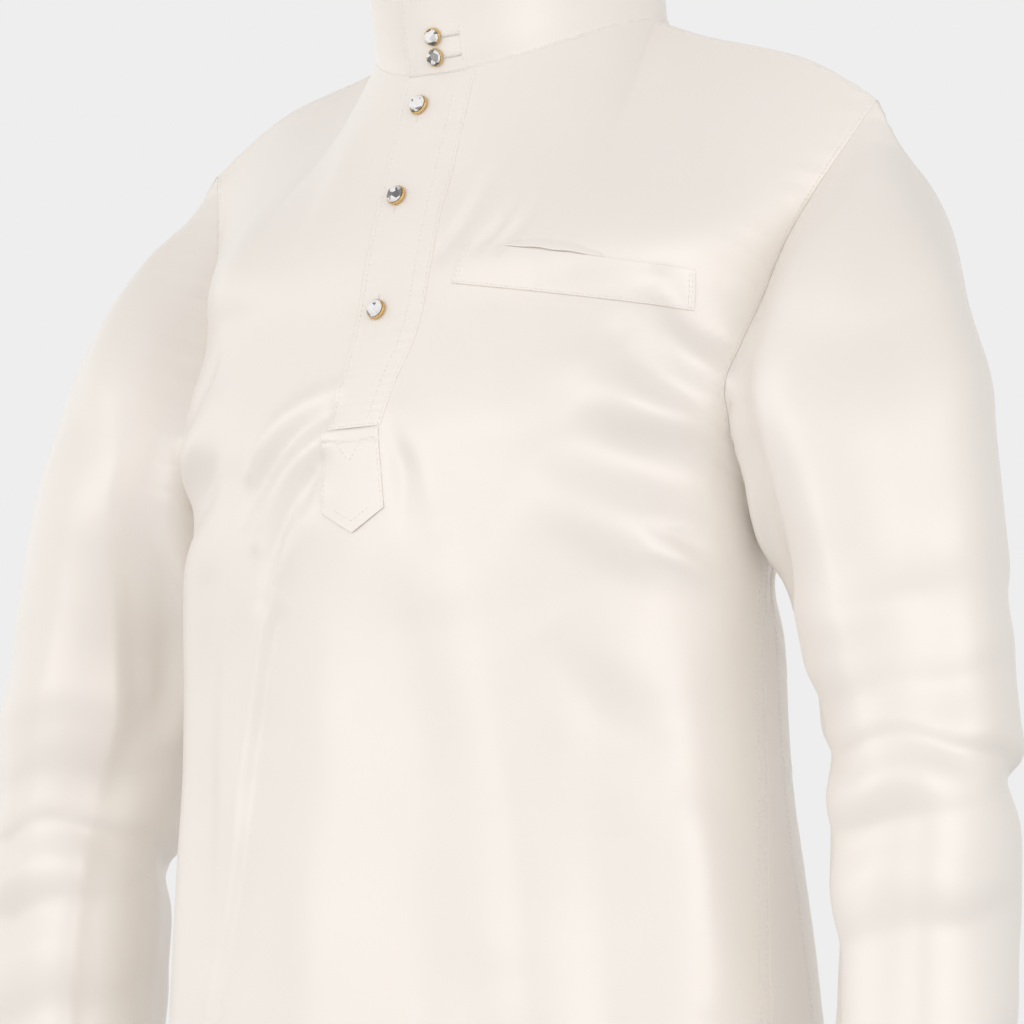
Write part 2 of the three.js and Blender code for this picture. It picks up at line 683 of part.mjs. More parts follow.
function studPieces(number, point, normal, scale) {
  const r = STUD.radius * scale;
  const well = r - STUD.rim * scale;
  const h = STUD.cupHeight * scale;
  const floor = h - STUD.recess * scale;
  const cup = [[0, 0], [r * 0.9, 0], [r, h * 0.5], [r * 0.96, h], [well, h], [well, floor], [0, floor]];
  const girdle = floor + 0.3;
  const top = girdle + STUD.crystal * scale;
  const gem = [
    [0, girdle], [well - 0.3, girdle], [well - 0.3, h + 0.2], [well * 0.62, top - 0.7 * scale],
    [well * 0.4, top], [0, top],
  ];
  const turned = (profile, sides) => {
    const points = profile.map(([x, y]) => new THREE.Vector2(x, y));
    return new THREE.LatheGeometry(points, sides);
  };
  const place = (mesh) => {
    mesh.quaternion.setFromUnitVectors(new THREE.Vector3(0, 1, 0), normal);
    mesh.position.copy(point).addScaledVector(normal, SEAM_GAP);
    return mesh;
  };
  const setting = named(`stud_setting_${number}`, turned(cup, STUD.sides), MATERIALS.gold);
  const crystal = named(`stud_crystal_${number}`, turned(gem, STUD.sides - 4), MATERIALS.crystal);
  return [place(setting), place(crystal)];
}

function studs(front) {
  const pieces = [];
  COLLAR_STUDS.levels.forEach((level, i) => {
    const point = collarPoint(COLLAR_STUDS.place, level);
    const turn = ((4 - COLLAR_STUDS.place) * Math.PI) / 2;
    const normal = new THREE.Vector3(Math.sin(turn), -Math.cos(turn), -COLLAR.forward / COLLAR.height);
    normal.normalize();
    pieces.push(...studPieces(i + 1, point, normal, COLLAR_STUD_SCALE));
  });
  PLACKET_STUDS.forEach((stud, i) => {
    const { point, normal } = frontAt(front, stud.x, stud.z);
    point.addScaledVector(normal, LAY_GAP + TRIM_CLOTH);
    pieces.push(...studPieces(i + 3, point, normal, 1));
  });
  return pieces;
}

// The trousers

function legGrid() {
  const grid = [];
  for (let r = 0; r <= LEG_ROWS; r += 1) {
    const row = readTable(TROUSERS, r / LEG_ROWS);
    const middle = (row.x - SEAM_GAP / 2) / row.a;
    const open = middle < 1 ? Math.acos(middle) : 0;
    const start = Math.max(open, SEAM_GAP / row.b);
    grid.push(evenPoints((t) => {
      const angle = start + (2 * Math.PI - 2 * start) * t;
      const x = row.x - row.a * Math.cos(angle);
      return new THREE.Vector3(x, row.y - row.b * Math.sin(angle), row.z);
    }, LEG_COLUMNS));
  }
  return grid;
}

function legMesh(name, grid) {
  const normals = gridNormals(grid, false);
  const inner = grid.map((row, r) => row.map((p, c) => {
    return p.clone().addScaledVector(normals[r][c], -CLOTH);
  }));
  return named(name, wallGeometry(grid, inner, false), MATERIALS.satin);
}

function waistband() {
  const base = TROUSERS[TROUSERS.length - 1];
  const ring = (a, b, y, z) => Array.from({ length: BAND_COLUMNS }, (_, c) => {
    const angle = (c / BAND_COLUMNS) * 2 * Math.PI;
    return new THREE.Vector3(a * Math.cos(angle), y + b * Math.sin(angle), z);
  });
  const rows = (inset) => Array.from({ length: WAISTBAND.rows + 1 }, (_, r) => {
    const t = r / WAISTBAND.rows;
    const lerp = THREE.MathUtils.lerp;
    const a = lerp(base.a, WAISTBAND.a, t) - inset;
    const b = lerp(base.b, WAISTBAND.b, t) - inset;
    return ring(a, b, WAISTBAND.y, lerp(base.z + SEAM_GAP, WAISTBAND.top, t));
  });
  return named('trouser_waistband', wallGeometry(rows(0), rows(COLLAR_CLOTH), true), MATERIALS.satin);
}

// The whole set

function tunic() {
  const front = bodyPanel(-1);
  const back = bodyPanel(1);
  const goreLeft = sideGore(front, back);
  const sleeveLeft = sleevePanel(front, back, goreLeft);
  const goreRight = { grid: mirrorX(goreLeft.grid), round: false };
  const turnsRight = [...sleeveLeft.turns].reverse();
  const sleeveRight = { grid: mirrorX(sleeveLeft.grid), round: true, turns: turnsRight };
  back.grid = back.grid.map((row) => row.reverse());
  addFolds([front, back, goreLeft, goreRight, sleeveLeft, sleeveRight]);
  return [
    panelMesh('front_panel', front, CLOTH),
    panelMesh('back_panel', back, CLOTH),
    panelMesh('side_gore_left', goreLeft, CLOTH),
    panelMesh('side_gore_right', goreRight, CLOTH),
    panelMesh('sleeve_left', sleeveLeft, CLOTH),
    panelMesh('sleeve_right', sleeveRight, CLOTH),
    collarBand(),
    placketBand(front),
    placketTab(front),
    pocketWelt(front),
    ...studs(front),
  ];
}

function trousers() {
  const left = legGrid();
  return [
    legMesh('trouser_leg_left', left),
    legMesh('trouser_leg_right', mirrorX(left)),
    waistband(),
  ];
}

const group = new THREE.Group();
group.add(...tunic(), ...trousers());

export default group;
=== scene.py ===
import math

import bmesh
import bpy
import numpy as np
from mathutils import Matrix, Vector


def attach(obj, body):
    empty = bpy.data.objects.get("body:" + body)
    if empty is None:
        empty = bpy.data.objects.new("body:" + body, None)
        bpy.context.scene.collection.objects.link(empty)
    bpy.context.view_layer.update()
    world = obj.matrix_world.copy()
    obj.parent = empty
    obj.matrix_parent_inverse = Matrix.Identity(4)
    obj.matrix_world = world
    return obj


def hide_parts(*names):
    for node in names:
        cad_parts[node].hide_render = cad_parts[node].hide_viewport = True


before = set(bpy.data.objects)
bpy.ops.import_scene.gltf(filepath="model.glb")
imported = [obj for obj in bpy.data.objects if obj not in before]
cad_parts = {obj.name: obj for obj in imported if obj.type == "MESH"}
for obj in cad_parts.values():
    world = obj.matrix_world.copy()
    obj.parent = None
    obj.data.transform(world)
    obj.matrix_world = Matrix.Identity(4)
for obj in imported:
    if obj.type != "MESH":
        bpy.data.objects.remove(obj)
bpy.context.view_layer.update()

# A worn satin baju melayu and its trousers, dressed over the frame. The tables and the
# curves are in millimetres, in the frame's own axes, and MM turns them into metres.
MM = 0.001


def table(names, *rows):
    """Rows of numbers with named columns"""
    return [dict(zip(names.split(), row)) for row in rows]


# Driving sizes
CLOTH = 1.0
COLLAR_CLOTH = 1.7
TRIM_CLOTH = 0.6
MOUTH_CLOTH = 0.8
LAY_GAP = 0.15
HEM_DEPTH = 22.0
CUFF_HEM_DEPTH = 25.0
STITCH_SPACING = 3.0
STITCH_LENGTH = 2.1
STITCH_WIDTH = 0.3
SIDE_SEAM_INSET = 2.4
SECOND_SEAM_INSET = 8.5
TOP_SEAM_INSET = 2.2
WAIST_SEAM_INSETS = (2.0, 12.5, 24.5, 35.5)

# How many cells the fine grids have
HALF_COLUMNS = 96
NECK_COLUMNS = 48
BODY_ROWS = 112
ARMHOLE_ROWS = 96
GORE_COLUMNS = 10
SLEEVE_ROWS = 216
LEG_COLUMNS = 88
LEG_ROWS = 120
COLLAR_COLUMNS = 260
COLLAR_ROWS = 20
WAIST_COLUMNS = 288
WAIST_ROWS = 14

# Points on a dense curve before it is spaced evenly
DENSE = 361

# Neck, collar and shoulders. The collar's places are quarter turns from the centre front
# by the wearer's right, the back and the left; its left end laps over the right one.
NECK_HALF = 82.0
NECK_FRONT = (-98.0, -36.0)
NECK_BACK = (58.0, 14.0)
SHOULDER_TIP = (225.0, 8.0, -58.0)
COLLAR_HEIGHT = 42.0
COLLAR_FORWARD = 8.0
COLLAR_LIFT = 0.5
COLLAR_STEP = 1.5
COLLAR_TUCK = 2.2
COLLAR_DROP = 2.6
COLLAR_START = -0.16
COLLAR_END = 4.13

# The body below the arms, from the hem up: half widths a and b, middle y, and the side
# seams in degrees from the side towards the back
BODY_ROUND = 2.3
BODY = table(
    "z a b y front back",
    (-752, 212, 128, -30, -13, 9),
    (-650, 204, 123, -34, -10, 8),
    (-549, 196, 118, -38, -6, 8),
    (-437, 184, 111, -44, 1, 9),
    (-370, 181, 109, -47, 3, 10),
    (-302, 181, 110, -50, 6, 13),
)
BODY_STEPS = (3, 3, 3, 2, 3)

# Levels above the underarm: the centre line's cz and cy, the armhole's x, y and z, and
# how far the curve between them turns
FRONT_YOKE = table(
    "cz cy x y z wrap",
    (-268, -160, 182, -62, -262, 0.97),
    (-238, -158, 183, -80, -226, 0.95),
    (-178, -143, 187, -49, -173, 0.94),
    (-122, -128, 197, -30, -128, 0.92),
)
BACK_YOKE = table(
    "cz cy x y z wrap",
    (-258, 66, 181, 26, -258, 0.95),
    (-212, 71, 182, 46, -208, 0.93),
    (-158, 75, 190, 46, -152, 0.9),
    (-98, 73, 207, 30, -98, 0.86),
)

# The sleeve's rings: outermost and innermost point, middle, half depth and pinch
SLEEVE = table(
    "out_x out_y out_z in_x in_z y depth pinch",
    (250, 2, -98, 187, -312, -18, 70, 0.1),
    (281, -12, -150, 194, -330, -24, 70, 0.35),
    (306, -22, -215, 201, -352, -28, 66, 0.5),
    (322, -28, -300, 210, -384, -31, 62, 0.5),
    (334, -33, -385, 222, -420, -34, 58, 0.3),
    (338, -37, -470, 233, -478, -37, 53, 0),
    (337, -41, -560, 238, -562, -40, 49, 0),
    (335, -44, -656, 244, -656, -43, 45, 0),
)

# Folds on the body, seen from the front (-1) or the back (1). Each runs down from one
# place to another and bows towards -X; left and right are its half widths on its -X and
# +X side, and a trough has a negative height.
FOLDS = table(
    "facing x1 z1 x2 z2 bow left right height",
    (-1, 152, -166, 185, -206, 3, 9, 7, -4),
    (-1, 150, -184, 183, -219, 2, 7, 7, 4),
    (-1, 140, -196, 183, -236, 3, 10, 8, -5),
    (-1, 126, -214, 182, -254, 4, 13, 10, 4),
    (-1, 118, -236, 182, -290, 6, 16, 13, -3.4),
    (-1, 96, -262, 181, -318, 8, 17, 15, 2.6),
    (-1, 92, -292, 176, -348, 8, 20, 15, -2.6),
    (-1, 60, -318, 160, -392, 8, 22, 18, 2),
    (-1, 24, -70, 34, -128, 2, 5, 14, -2.5),
    (-1, 47, -104, 32, -142, -2, 3.5, 7, -3.5),
    (-1, 66, -120, 56, -141, -2, 2.6, 5, -3),
    (-1, 79, -122, 68, -142, -2, 2.6, 5, -3),
    (-1, -76, -64, -80, -132, 2, 18, 14, -3),
    (-1, -120, -86, -134, -170, 3, 18, 18, 3),
    (-1, -27, -218, -86, -258, 8, 6, 7, 3.5),
    (-1, -30, -231, -92, -286, 8, 6, 6, -4),
    (-1, -31, -244, -80, -298, 6, 5, 6, 3.5),
    (-1, -33, -258, -76, -330, 6, 5, 7, -3.5),
    (-1, -34, -276, -66, -330, 4, 7, 9, 3),
    (-1, -44, -282, -90, -420, 5, 4, 28, -5),
    (-1, -88, -412, -119, -551, -3, 4, 30, -5),
    (-1, -118, -545, -152, -745, 3, 5, 34, -5),
    (-1, 15, -246, 24, -290, -3, 5, 9, -2.5),
    (-1, 24, -238, 46, -300, -4, 9, 12, 2),
    (-1, 56, -340, 96, -560, -6, 24, 20, 5),
    (-1, 94, -540, 112, -745, -3, 26, 22, 6),
    (-1, 104, -352, 168, -440, 6, 16, 20, -5),
    (-1, 128, -430, 152, -745, -4, 18, 20, -6),
    (-1, 166, -420, 184, -560, -2, 12, 12, 4),
    (-1, 160, -306, 176, -320, -3, 4, 5, -2.4),
    (-1, 158, -318, 177, -334, -3, 4, 5, 1.8),
    (-1, 22, -360, 40, -745, 4, 30, 26, -4),
    (-1, -30, -360, -52, -745, 4, 22, 26, 4),
    (-1, -150, -290, -158, -745, 5, 14, 18, 4),
    (-1, -126, -320, -134, -520, 3, 12, 14, -4),
    (-1, -140, -190, -183, -232, -3, 8, 8, -4),
    (-1, -126, -214, -182, -262, -4, 10, 9, 3.5),
    (-1, -112, -236, -180, -300, -5, 12, 12, -4),
    (1, 112, -196, 184, -240, 5, 12, 10, -7),
    (1, 96, -230, 182, -286, 6, 14, 12, 6),
    (1, 84, -268, 178, -330, 8, 16, 14, -7),
    (1, -108, -190, -184, -236, -5, 10, 12, -7),
    (1, -98, -226, -182, -282, -6, 12, 14, 6),
    (1, -88, -262, -176, -326, -8, 14, 16, -7),
    (1, 8, -60, 2, -150, 2, 14, 16, 3),
    (1, 52, -360, 74, -745, 6, 26, 22, 6),
    (1, -60, -370, -96, -745, -6, 22, 28, 7),
    (1, -6, -380, 10, -745, -4, 22, 26, -6),
    (1, 118, -400, 134, -745, 4, 20, 16, -5),
    (1, -128, -420, -140, -745, 4, 16, 18, -5),
    (1, 40, -330, 120, -392, 6, 14, 16, -4),
    (1, -36, -322, -104, -380, -6, 14, 14, -4),
)

# Folds round a sleeve: level in front and behind, half widths above and below, height
SLEEVE_FOLDS = table(
    "front rear above below height",
    (-196, -170, 18, 22, -2),
    (-250, -215, 22, 20, 2),
    (-318, -352, 16, 22, -2.5),
    (-352, -322, 12, 16, 2),
    (-398, -380, 12, 18, -2.5),
    (-424, -452, 8, 18, -5),
    (-446, -424, 13, 14, 3),
    (-470, -438, 8, 17, -3.5),
    (-496, -520, 14, 20, 2.5),
    (-530, -508, 12, 20, -2.5),
    (-586, -566, 16, 22, 2),
    (-622, -606, 14, 18, -1.5),
)

# Folds along a sleeve: where round it they start and end (0 outside, 0.25 in front, 0.5
# inside), levels, half widths towards the outside and the inside, and height
SLEEVE_LINES = table(
    "turn1 z1 turn2 z2 outside inside height",
    (0.235, -140, 0.345, -380, 34, 7, 7),
    (0.3, -150, 0.41, -350, 10, 14, -5),
    (0.1, -120, 0.13, -410, 18, 20, -3),
    (0.03, -170, 0.05, -430, 16, 18, 3),
    (0.79, -130, 0.69, -390, 8, 30, 7),
    (0.72, -140, 0.62, -340, 14, 10, -5),
    (0.9, -180, 0.87, -430, 18, 18, -3),
    (0.2, -480, 0.22, -640, 12, 14, -3),
    (0.34, -470, 0.31, -645, 16, 9, 4),
    (0.68, -470, 0.72, -645, 9, 16, 4),
    (0.56, -480, 0.55, -640, 14, 14, -3),
)
SLEEVE_GIRTH = 320.0

# Trousers, from the hem up: a leg's centre and half width, half depth and middle
TROUSERS = table(
    "z x a b y",
    (-1430, 106, 70, 73, -40),
    (-1300, 104, 74, 77, -40),
    (-1060, 101, 82, 86, -40),
    (-850, 97, 92, 98, -38),
    (-720, 94.5, 94, 102, -36),
    (-690, 78, 104, 102, -36),
    (-640, 44, 128, 100, -36),
    (-580, 12, 152, 96, -37),
    (-510, 0, 150, 88, -40),
)
LEG_GAP = 0.3
WAISTBAND = {"low": -509.7, "top": -472.0, "a": 146.0, "b": 86.0, "y": -40.0}

# Folds on the wearer's left trouser leg, as on the body
LEG_FOLDS = table(
    "facing x1 z1 x2 z2 bow left right height",
    (-1, 100, -700, 106, -1425, 0, 7, 9, 4),
    (1, 100, -700, 106, -1425, 0, 9, 7, 4),
    (-1, 20, -640, 92, -720, -6, 10, 12, -5),
    (-1, 16, -668, 70, -760, -6, 10, 12, 4),
    (1, 18, -640, 96, -740, -8, 12, 14, -6),
    (-1, 60, -1000, 140, -1046, 5, 12, 12, -4),
    (-1, 142, -1052, 66, -1094, -4, 12, 14, 4),
    (1, 60, -1030, 146, -1070, 4, 12, 14, -6),
    (1, 140, -1076, 66, -1112, -4, 12, 14, 5),
    (-1, 58, -1344, 144, -1372, 5, 10, 12, -5),
    (-1, 142, -1374, 70, -1398, -3, 8, 10, 4),
    (1, 62, -1360, 148, -1386, 4, 10, 10, -4),
)

# The placket, its pointed tab, the welt and the edge of the pocket's mouth
PLACKET = table(
    "z left right",
    (-41, -18, 27),
    (-100, -18, 26),
    (-180, -19, 25),
    (-215, -24, 15),
    (-241, -28, 8),
)
TAB = {"left": -31.0, "right": (12.0, 7.0), "top": -242.0, "corner": -287.0, "point": -299.5}
TAB_SEAM = 6.0
PLACKET_TOP = 3.4
WELT = {"x": (47.0, 165.0), "z": (-139.5, -159.0), "height": 23.0, "slant": 6.0}
MOUTH = {"start": 0.2, "end": 0.68, "reach": 10.4, "rise": 0.7}

# Studs: a gold cup under a faceted crystal
STUD_RADIUS = 5.7
CRYSTAL_RADIUS = 5.1
CUP_SIDES = 60
COLLAR_STUD_SCALE = 0.88
COLLAR_STUD_PLACE = 3.965
COLLAR_STUD_LEVELS = (0.46, 0.21)
PLACKET_STUDS = ((-3, -55), (-5, -108), (-5, -174))
STUD_OFF = 0.3
BAR_OFF = 8.0
BAR_LENGTH = 3.6
LAST_BAR = -150.0

# The camera: its angle to the garment, distance, view width and what it looks at
CAMERA_AZIMUTH = 35.0
CAMERA_ELEVATION = -8.0
CAMERA_DISTANCE = 8.0
FRAME_WIDTH = 0.5734
FRAME_SENSOR = 36.0
AIM_ACROSS = -0.012
AIM_UP = -0.2675
FLOOR_LEVEL = -1.434
FLOOR_HALF = 40.0


def catmull(p0, p1, p2, p3, t):
    """Smooth curve through p1 and p2"""
    first = 2 * p1 + (p2 - p0) * t
    second = (2 * p0 - 5 * p1 + 4 * p2 - p3) * t ** 2
    return 0.5 * (first + second + (3 * p1 - p0 - 3 * p2 + p3) * t ** 3)


def read_table(rows, places):
    """Each column of a table, read smoothly at places from 0 to 1"""
    span = np.clip(places, 0, 1) * (len(rows) - 1)
    at = np.minimum(span.astype(int), len(rows) - 2)
    result = {}
    for name in rows[0]:
        column = np.array([row[name] for row in rows], float)
        last = len(column) - 1
        picks = [column[np.clip(at + step, 0, last)] for step in (-1, 0, 1, 2)]
        result[name] = catmull(*picks, span - at)
    return result


def unit(vectors):
    return vectors / np.maximum(np.linalg.norm(vectors, axis=-1, keepdims=True), 1e-9)


def smoothstep(value, low, high):
    t = np.clip((value - low) / (high - low), 0, 1)
    return t * t * (3 - 2 * t)


def run_lengths(line, axis=0):
    """Length from the start of a line, or of each line in a grid, to each of its points"""
    steps = np.linalg.norm(np.diff(line, axis=axis), axis=-1)
    start = np.zeros_like(np.take(steps, [0], axis=axis))
    return np.concatenate([start, np.cumsum(steps, axis=axis)], axis=axis)


def read_line(line, lengths, goals):
    """Points of a line at given lengths from its start"""
    return np.stack([np.interp(goals, lengths, line[:, k]) for k in range(3)], axis=1)


def even_points(line, count):
    """Evenly spaced points along a dense line"""
    lengths = run_lengths(line)
    return read_line(line, lengths, np.linspace(0, lengths[-1], count + 1))


def loft(rails, counts):
    """Rows of points carried smoothly through a few rails"""
    rows = []
    for k, count in enumerate(counts):
        last = k == len(counts) - 1
        t = np.arange(count + (1 if last else 0)) / count
        before = rails[max(k - 1, 0)]
        after = rails[min(k + 2, len(rails) - 1)]
        rows.append(catmull(before, rails[k], rails[k + 1], after, t[:, None, None]))
    return np.concatenate(rows)


def grid_normals(grid, ring):
    """Outward direction at each point; ring says that the rows close on themselves"""
    if ring:
        across = np.roll(grid, -1, axis=1) - np.roll(grid, 1, axis=1)
    else:
        across = np.gradient(grid, axis=1)
    return unit(np.cross(across, np.gradient(grid, axis=0)))


def mirrored(grid):
    return grid[:, ::-1] * np.array([-1.0, 1.0, 1.0])


def closed(grid, ring):
    """A ring's grid with its first column again at the end, or an open grid as it is"""
    return np.concatenate([grid, grid[:, :1]], axis=1) if ring else grid


class Panel:
    """A stretch of cloth: its outer face as a grid whose rows go up and whose columns go
    to the right as seen from outside, and the outward direction at each point"""

    def __init__(self, grid, ring=False, turns=None):
        self.grid = grid
        self.ring = ring
        self.turns = turns
        self.normals = grid_normals(grid, ring)


# The tunic's curves


def body_point(row, degrees):
    t = np.radians(degrees)
    power = 2 / BODY_ROUND
    x = np.sign(np.cos(t)) * np.abs(np.cos(t)) ** power
    y = np.sign(np.sin(t)) * np.abs(np.sin(t)) ** power
    z = np.full_like(t, row["z"], dtype=float)
    return np.stack([row["a"] * x, row["y"] + row["b"] * y, z], axis=1)


def whole_rail(half):
    other = half[1:][::-1] * np.array([-1.0, 1.0, 1.0])
    return np.concatenate([other, half])


def body_rail(row, facing):
    seam = row["front"] if facing < 0 else row["back"]
    degrees = np.linspace(90 * facing, seam, DENSE)
    return whole_rail(even_points(body_point(row, degrees), HALF_COLUMNS))


def yoke_rail(row):
    s = np.linspace(0, 1, DENSE)

    def bend(value):
        return 1 - (1 - value ** BODY_ROUND) ** (1 / BODY_ROUND)

    y = row["cy"] + (row["y"] - row["cy"]) * bend(row["wrap"] * s) / bend(row["wrap"])
    z = row["cz"] + (row["z"] - row["cz"]) * s ** 2
    return whole_rail(even_points(np.stack([row["x"] * s, y, z], axis=1), HALF_COLUMNS))


def neck_point(turn):
    """The neckline: 0 is the centre front, 1 the shoulder, 2 the centre back"""
    turn = np.asarray(turn, float)
    fall = np.abs(np.cos(turn * math.pi / 2))
    depth = np.where(turn < 1, NECK_FRONT[0], NECK_BACK[0])
    drop = np.where(turn < 1, NECK_FRONT[1], NECK_BACK[1])
    x = NECK_HALF * np.sin(turn * math.pi / 2)
    return np.stack([x, depth * fall, drop * fall ** 1.5], axis=-1)


def top_rail(facing):
    turns = np.linspace(0 if facing < 0 else 2, 1, DENSE)
    neck = even_points(neck_point(turns), NECK_COLUMNS)
    t = np.linspace(0, 1, 181)[:, None]
    seam = neck_point(1.0) * (1 - t) + np.array(SHOULDER_TIP) * t
    seam[:, 2] += 7 * np.sin(math.pi * t[:, 0]) - 3 * np.sin(2 * math.pi * t[:, 0])
    seam = even_points(seam, HALF_COLUMNS - NECK_COLUMNS)
    return whole_rail(np.concatenate([neck, seam[1:]]))


def armhole_steps(yoke):
    """The share of the rows that each stretch of the armhole takes, as the frame has it"""
    levels = [BODY[-1]["z"], *[row["z"] for row in yoke], SHOULDER_TIP[2]]
    span = levels[-1] - levels[0]
    ends = [math.floor((level - levels[0]) / span * 12 + 0.5) for level in levels]
    return [(b - a) * ARMHOLE_ROWS // 12 for a, b in zip(ends, ends[1:])]


def body_panel(facing):
    yoke = FRONT_YOKE if facing < 0 else BACK_YOKE
    rails = [body_rail(row, facing) for row in BODY]
    rails += [yoke_rail(row) for row in yoke]
    rails.append(top_rail(facing))
    low = [steps * BODY_ROWS // 14 for steps in BODY_STEPS]
    return Panel(loft(rails, low + armhole_steps(yoke)))


def side_gore(front, back):
    start = front.grid[:BODY_ROWS + 1, -1][:, None]
    end = back.grid[:BODY_ROWS + 1, -1][:, None]
    t = np.linspace(0, 1, GORE_COLUMNS + 1)[None, :, None]
    grid = start * (1 - t) + end * t
    width = np.linalg.norm(end - start, axis=2)
    grid[:, :, 0] += 0.02 * width * np.sin(math.pi * t[:, :, 0])
    return Panel(grid)


def sleeve_ring(row, turns):
    outer = np.array([row["out_x"], row["out_y"], row["out_z"]], float)
    inner = np.array([row["in_x"], 2 * row["y"] - row["out_y"], row["in_z"]], float)
    middle = (outer + inner) / 2
    t = turns * 2 * math.pi
    narrow = 1 - row["pinch"] * np.maximum(0, -np.cos(t)) ** 1.4
    ring = middle + (outer - middle) * np.cos(t)[:, None]
    ring[:, 1] -= row["depth"] * np.sin(t) * narrow
    return ring


def sleeve_steps():
    levels = [30.0, *[-row["out_z"] for row in SLEEVE]]
    span = levels[-1] - levels[0]
    ends = [math.floor((level - levels[0]) / span * 18 + 0.5) for level in levels]
    return [(b - a) * SLEEVE_ROWS // 18 for a, b in zip(ends, ends[1:])]


def sleeve_panel(front, back, gore):
    """Rings from the cuff up to the armhole: front edge, gore's top edge, back edge"""
    down = front.grid[BODY_ROWS:, -1][::-1]
    under = gore.grid[BODY_ROWS, 1:-1]
    up = back.grid[BODY_ROWS:-1, -1]
    armhole = np.concatenate([down, under, up])
    steps = np.linalg.norm(np.roll(armhole, -1, axis=0) - armhole, axis=1)
    turns = np.concatenate([[0], np.cumsum(steps)[:-1]]) / steps.sum()
    rails = [armhole[::-1]] + [sleeve_ring(row, turns)[::-1] for row in SLEEVE]
    return Panel(loft(rails, sleeve_steps())[::-1], ring=True, turns=turns[::-1])


# Folds and gathers


def line_folds(points, normals, folds):
    """Height of folds that run along lines on the front or the back"""
    x, z = points[..., 0], points[..., 2]
    total = np.zeros(x.shape)
    for fold in folds:
        dx = fold["x2"] - fold["x1"]
        dz = fold["z2"] - fold["z1"]
        length = math.hypot(dx, dz)
        t = ((x - fold["x1"]) * dx + (z - fold["z1"]) * dz) / length ** 2
        held = np.clip(t, 0, 1)
        over = (t - held) * length / max(fold["left"], fold["right"])
        side = ((x - fold["x1"]) * dz - (z - fold["z1"]) * dx) / length
        side = side - fold["bow"] * 4 * held * (1 - held)
        side = side / np.where(side > 0, fold["left"], fold["right"])
        fade = 0.4 + 0.6 * np.sin(math.pi * np.clip(held, 0.06, 0.94))
        share = smoothstep(normals[..., 1] * fold["facing"], 0.1, 0.6)
        total += fold["height"] * fade * share * np.exp(-(side ** 2 + over ** 2))
    return total


def ring_folds(points, normals):
    """Height of the folds round a sleeve, a little lower on the wearer's right"""
    level_shift = np.where(points[..., 0] < 0, 9.0, 0.0)
    middle = 0.5 - 0.5 * normals[..., 1]
    wave = 6 * np.sin(points[..., 1] / 17) + 4 * np.sin(points[..., 0] / 13)
    total = np.zeros(middle.shape)
    for fold in SLEEVE_FOLDS:
        level = fold["rear"] + (fold["front"] - fold["rear"]) * middle - level_shift
        away = points[..., 2] + wave - level
        away = away / np.where(away > 0, fold["above"], fold["below"])
        uneven = 0.75 + 0.45 * np.sin(points[..., 1] / 23 + fold["front"])
        total += fold["height"] * uneven * np.exp(-away ** 2)
    return total


def long_folds(points, turns):
    """Height of the folds along a sleeve"""
    z = points[..., 2]
    total = np.zeros(z.shape)
    for fold in SLEEVE_LINES:
        t = (z - fold["z1"]) / (fold["z2"] - fold["z1"])
        held = np.clip(t, 0, 1)
        at = fold["turn1"] + (fold["turn2"] - fold["turn1"]) * held
        away = (turns[None, :] - at + 0.5) % 1 - 0.5
        away = away * SLEEVE_GIRTH
        away = away / np.where(away > 0, fold["inside"], fold["outside"])
        over = (t - held) * abs(fold["z2"] - fold["z1"]) / 34
        total += fold["height"] * np.exp(-away ** 2 - over ** 2)
    return total


def undulation(points):
    """Shallow waves that no cloth is free of"""
    x, y, z = np.moveaxis(points, -1, 0)
    broad = np.sin(x / 19 + z / 47 + 1.3) * np.sin(z / 33 - y / 29)
    fine = np.sin(x / 8.3 - z / 31 + y / 11) * np.sin(z / 14 + x / 23 + 0.4)
    return 0.55 * broad + 0.16 * fine


def crinkle(along, pitch):
    """Uneven waves along a seam"""
    turn = 2 * math.pi * along / pitch
    slow = 0.65 + 0.35 * np.sin(turn / 3.7 + 0.6)
    return slow * (0.6 * np.sin(turn) + 0.4 * np.sin(turn * 2.33 + 1.7))


# Gathers beside an edge: which way they follow one another, pitch, height and reach
BODY_GATHERS = table(
    "edge dx dy dz pitch height reach",
    ("left", 0, 0.6, 1, 17, 1.1, 15),
    ("right", 0, 0.6, 1, 17, 1.1, 15),
    ("bottom", 1, 0.8, 0, 13, 0.5, 16),
    ("top", 1, 0, 0, 15, 0.5, 8),
)
GORE_GATHERS = table(
    "edge dx dy dz pitch height reach",
    ("left", 0, 0.6, 1, 14, 0.5, 8),
    ("right", 0, 0.6, 1, 14, 0.5, 8),
    ("bottom", 1, 0.8, 0, 13, 0.5, 16),
)
SLEEVE_GATHERS = table(
    "edge dx dy dz pitch height reach",
    ("top", 0, 0.6, 1, 21, 1.2, 24),
    ("bottom", 1, 1, 0, 12, 0.7, 15),
)


def turned_to(values, edge):
    """A grid turned so that its first row lies on the named edge"""
    if edge in ("left", "right"):
        values = values.swapaxes(0, 1)
    return values[::-1] if edge in ("right", "top") else values


def turned_back(values, edge):
    values = values[::-1] if edge in ("right", "top") else values
    return values.swapaxes(0, 1) if edge in ("left", "right") else values


def gather(panel, rows):
    total = np.zeros(panel.grid.shape[:2])
    for row in rows:
        away = turned_back(run_lengths(turned_to(panel.grid, row["edge"])), row["edge"])
        along = panel.grid @ np.array([row["dx"], row["dy"], row["dz"]], float)
        near = (1 - np.exp(-away / 4)) * np.exp(-away / row["reach"])
        total += row["height"] * near * crinkle(along, row["pitch"])
    return total


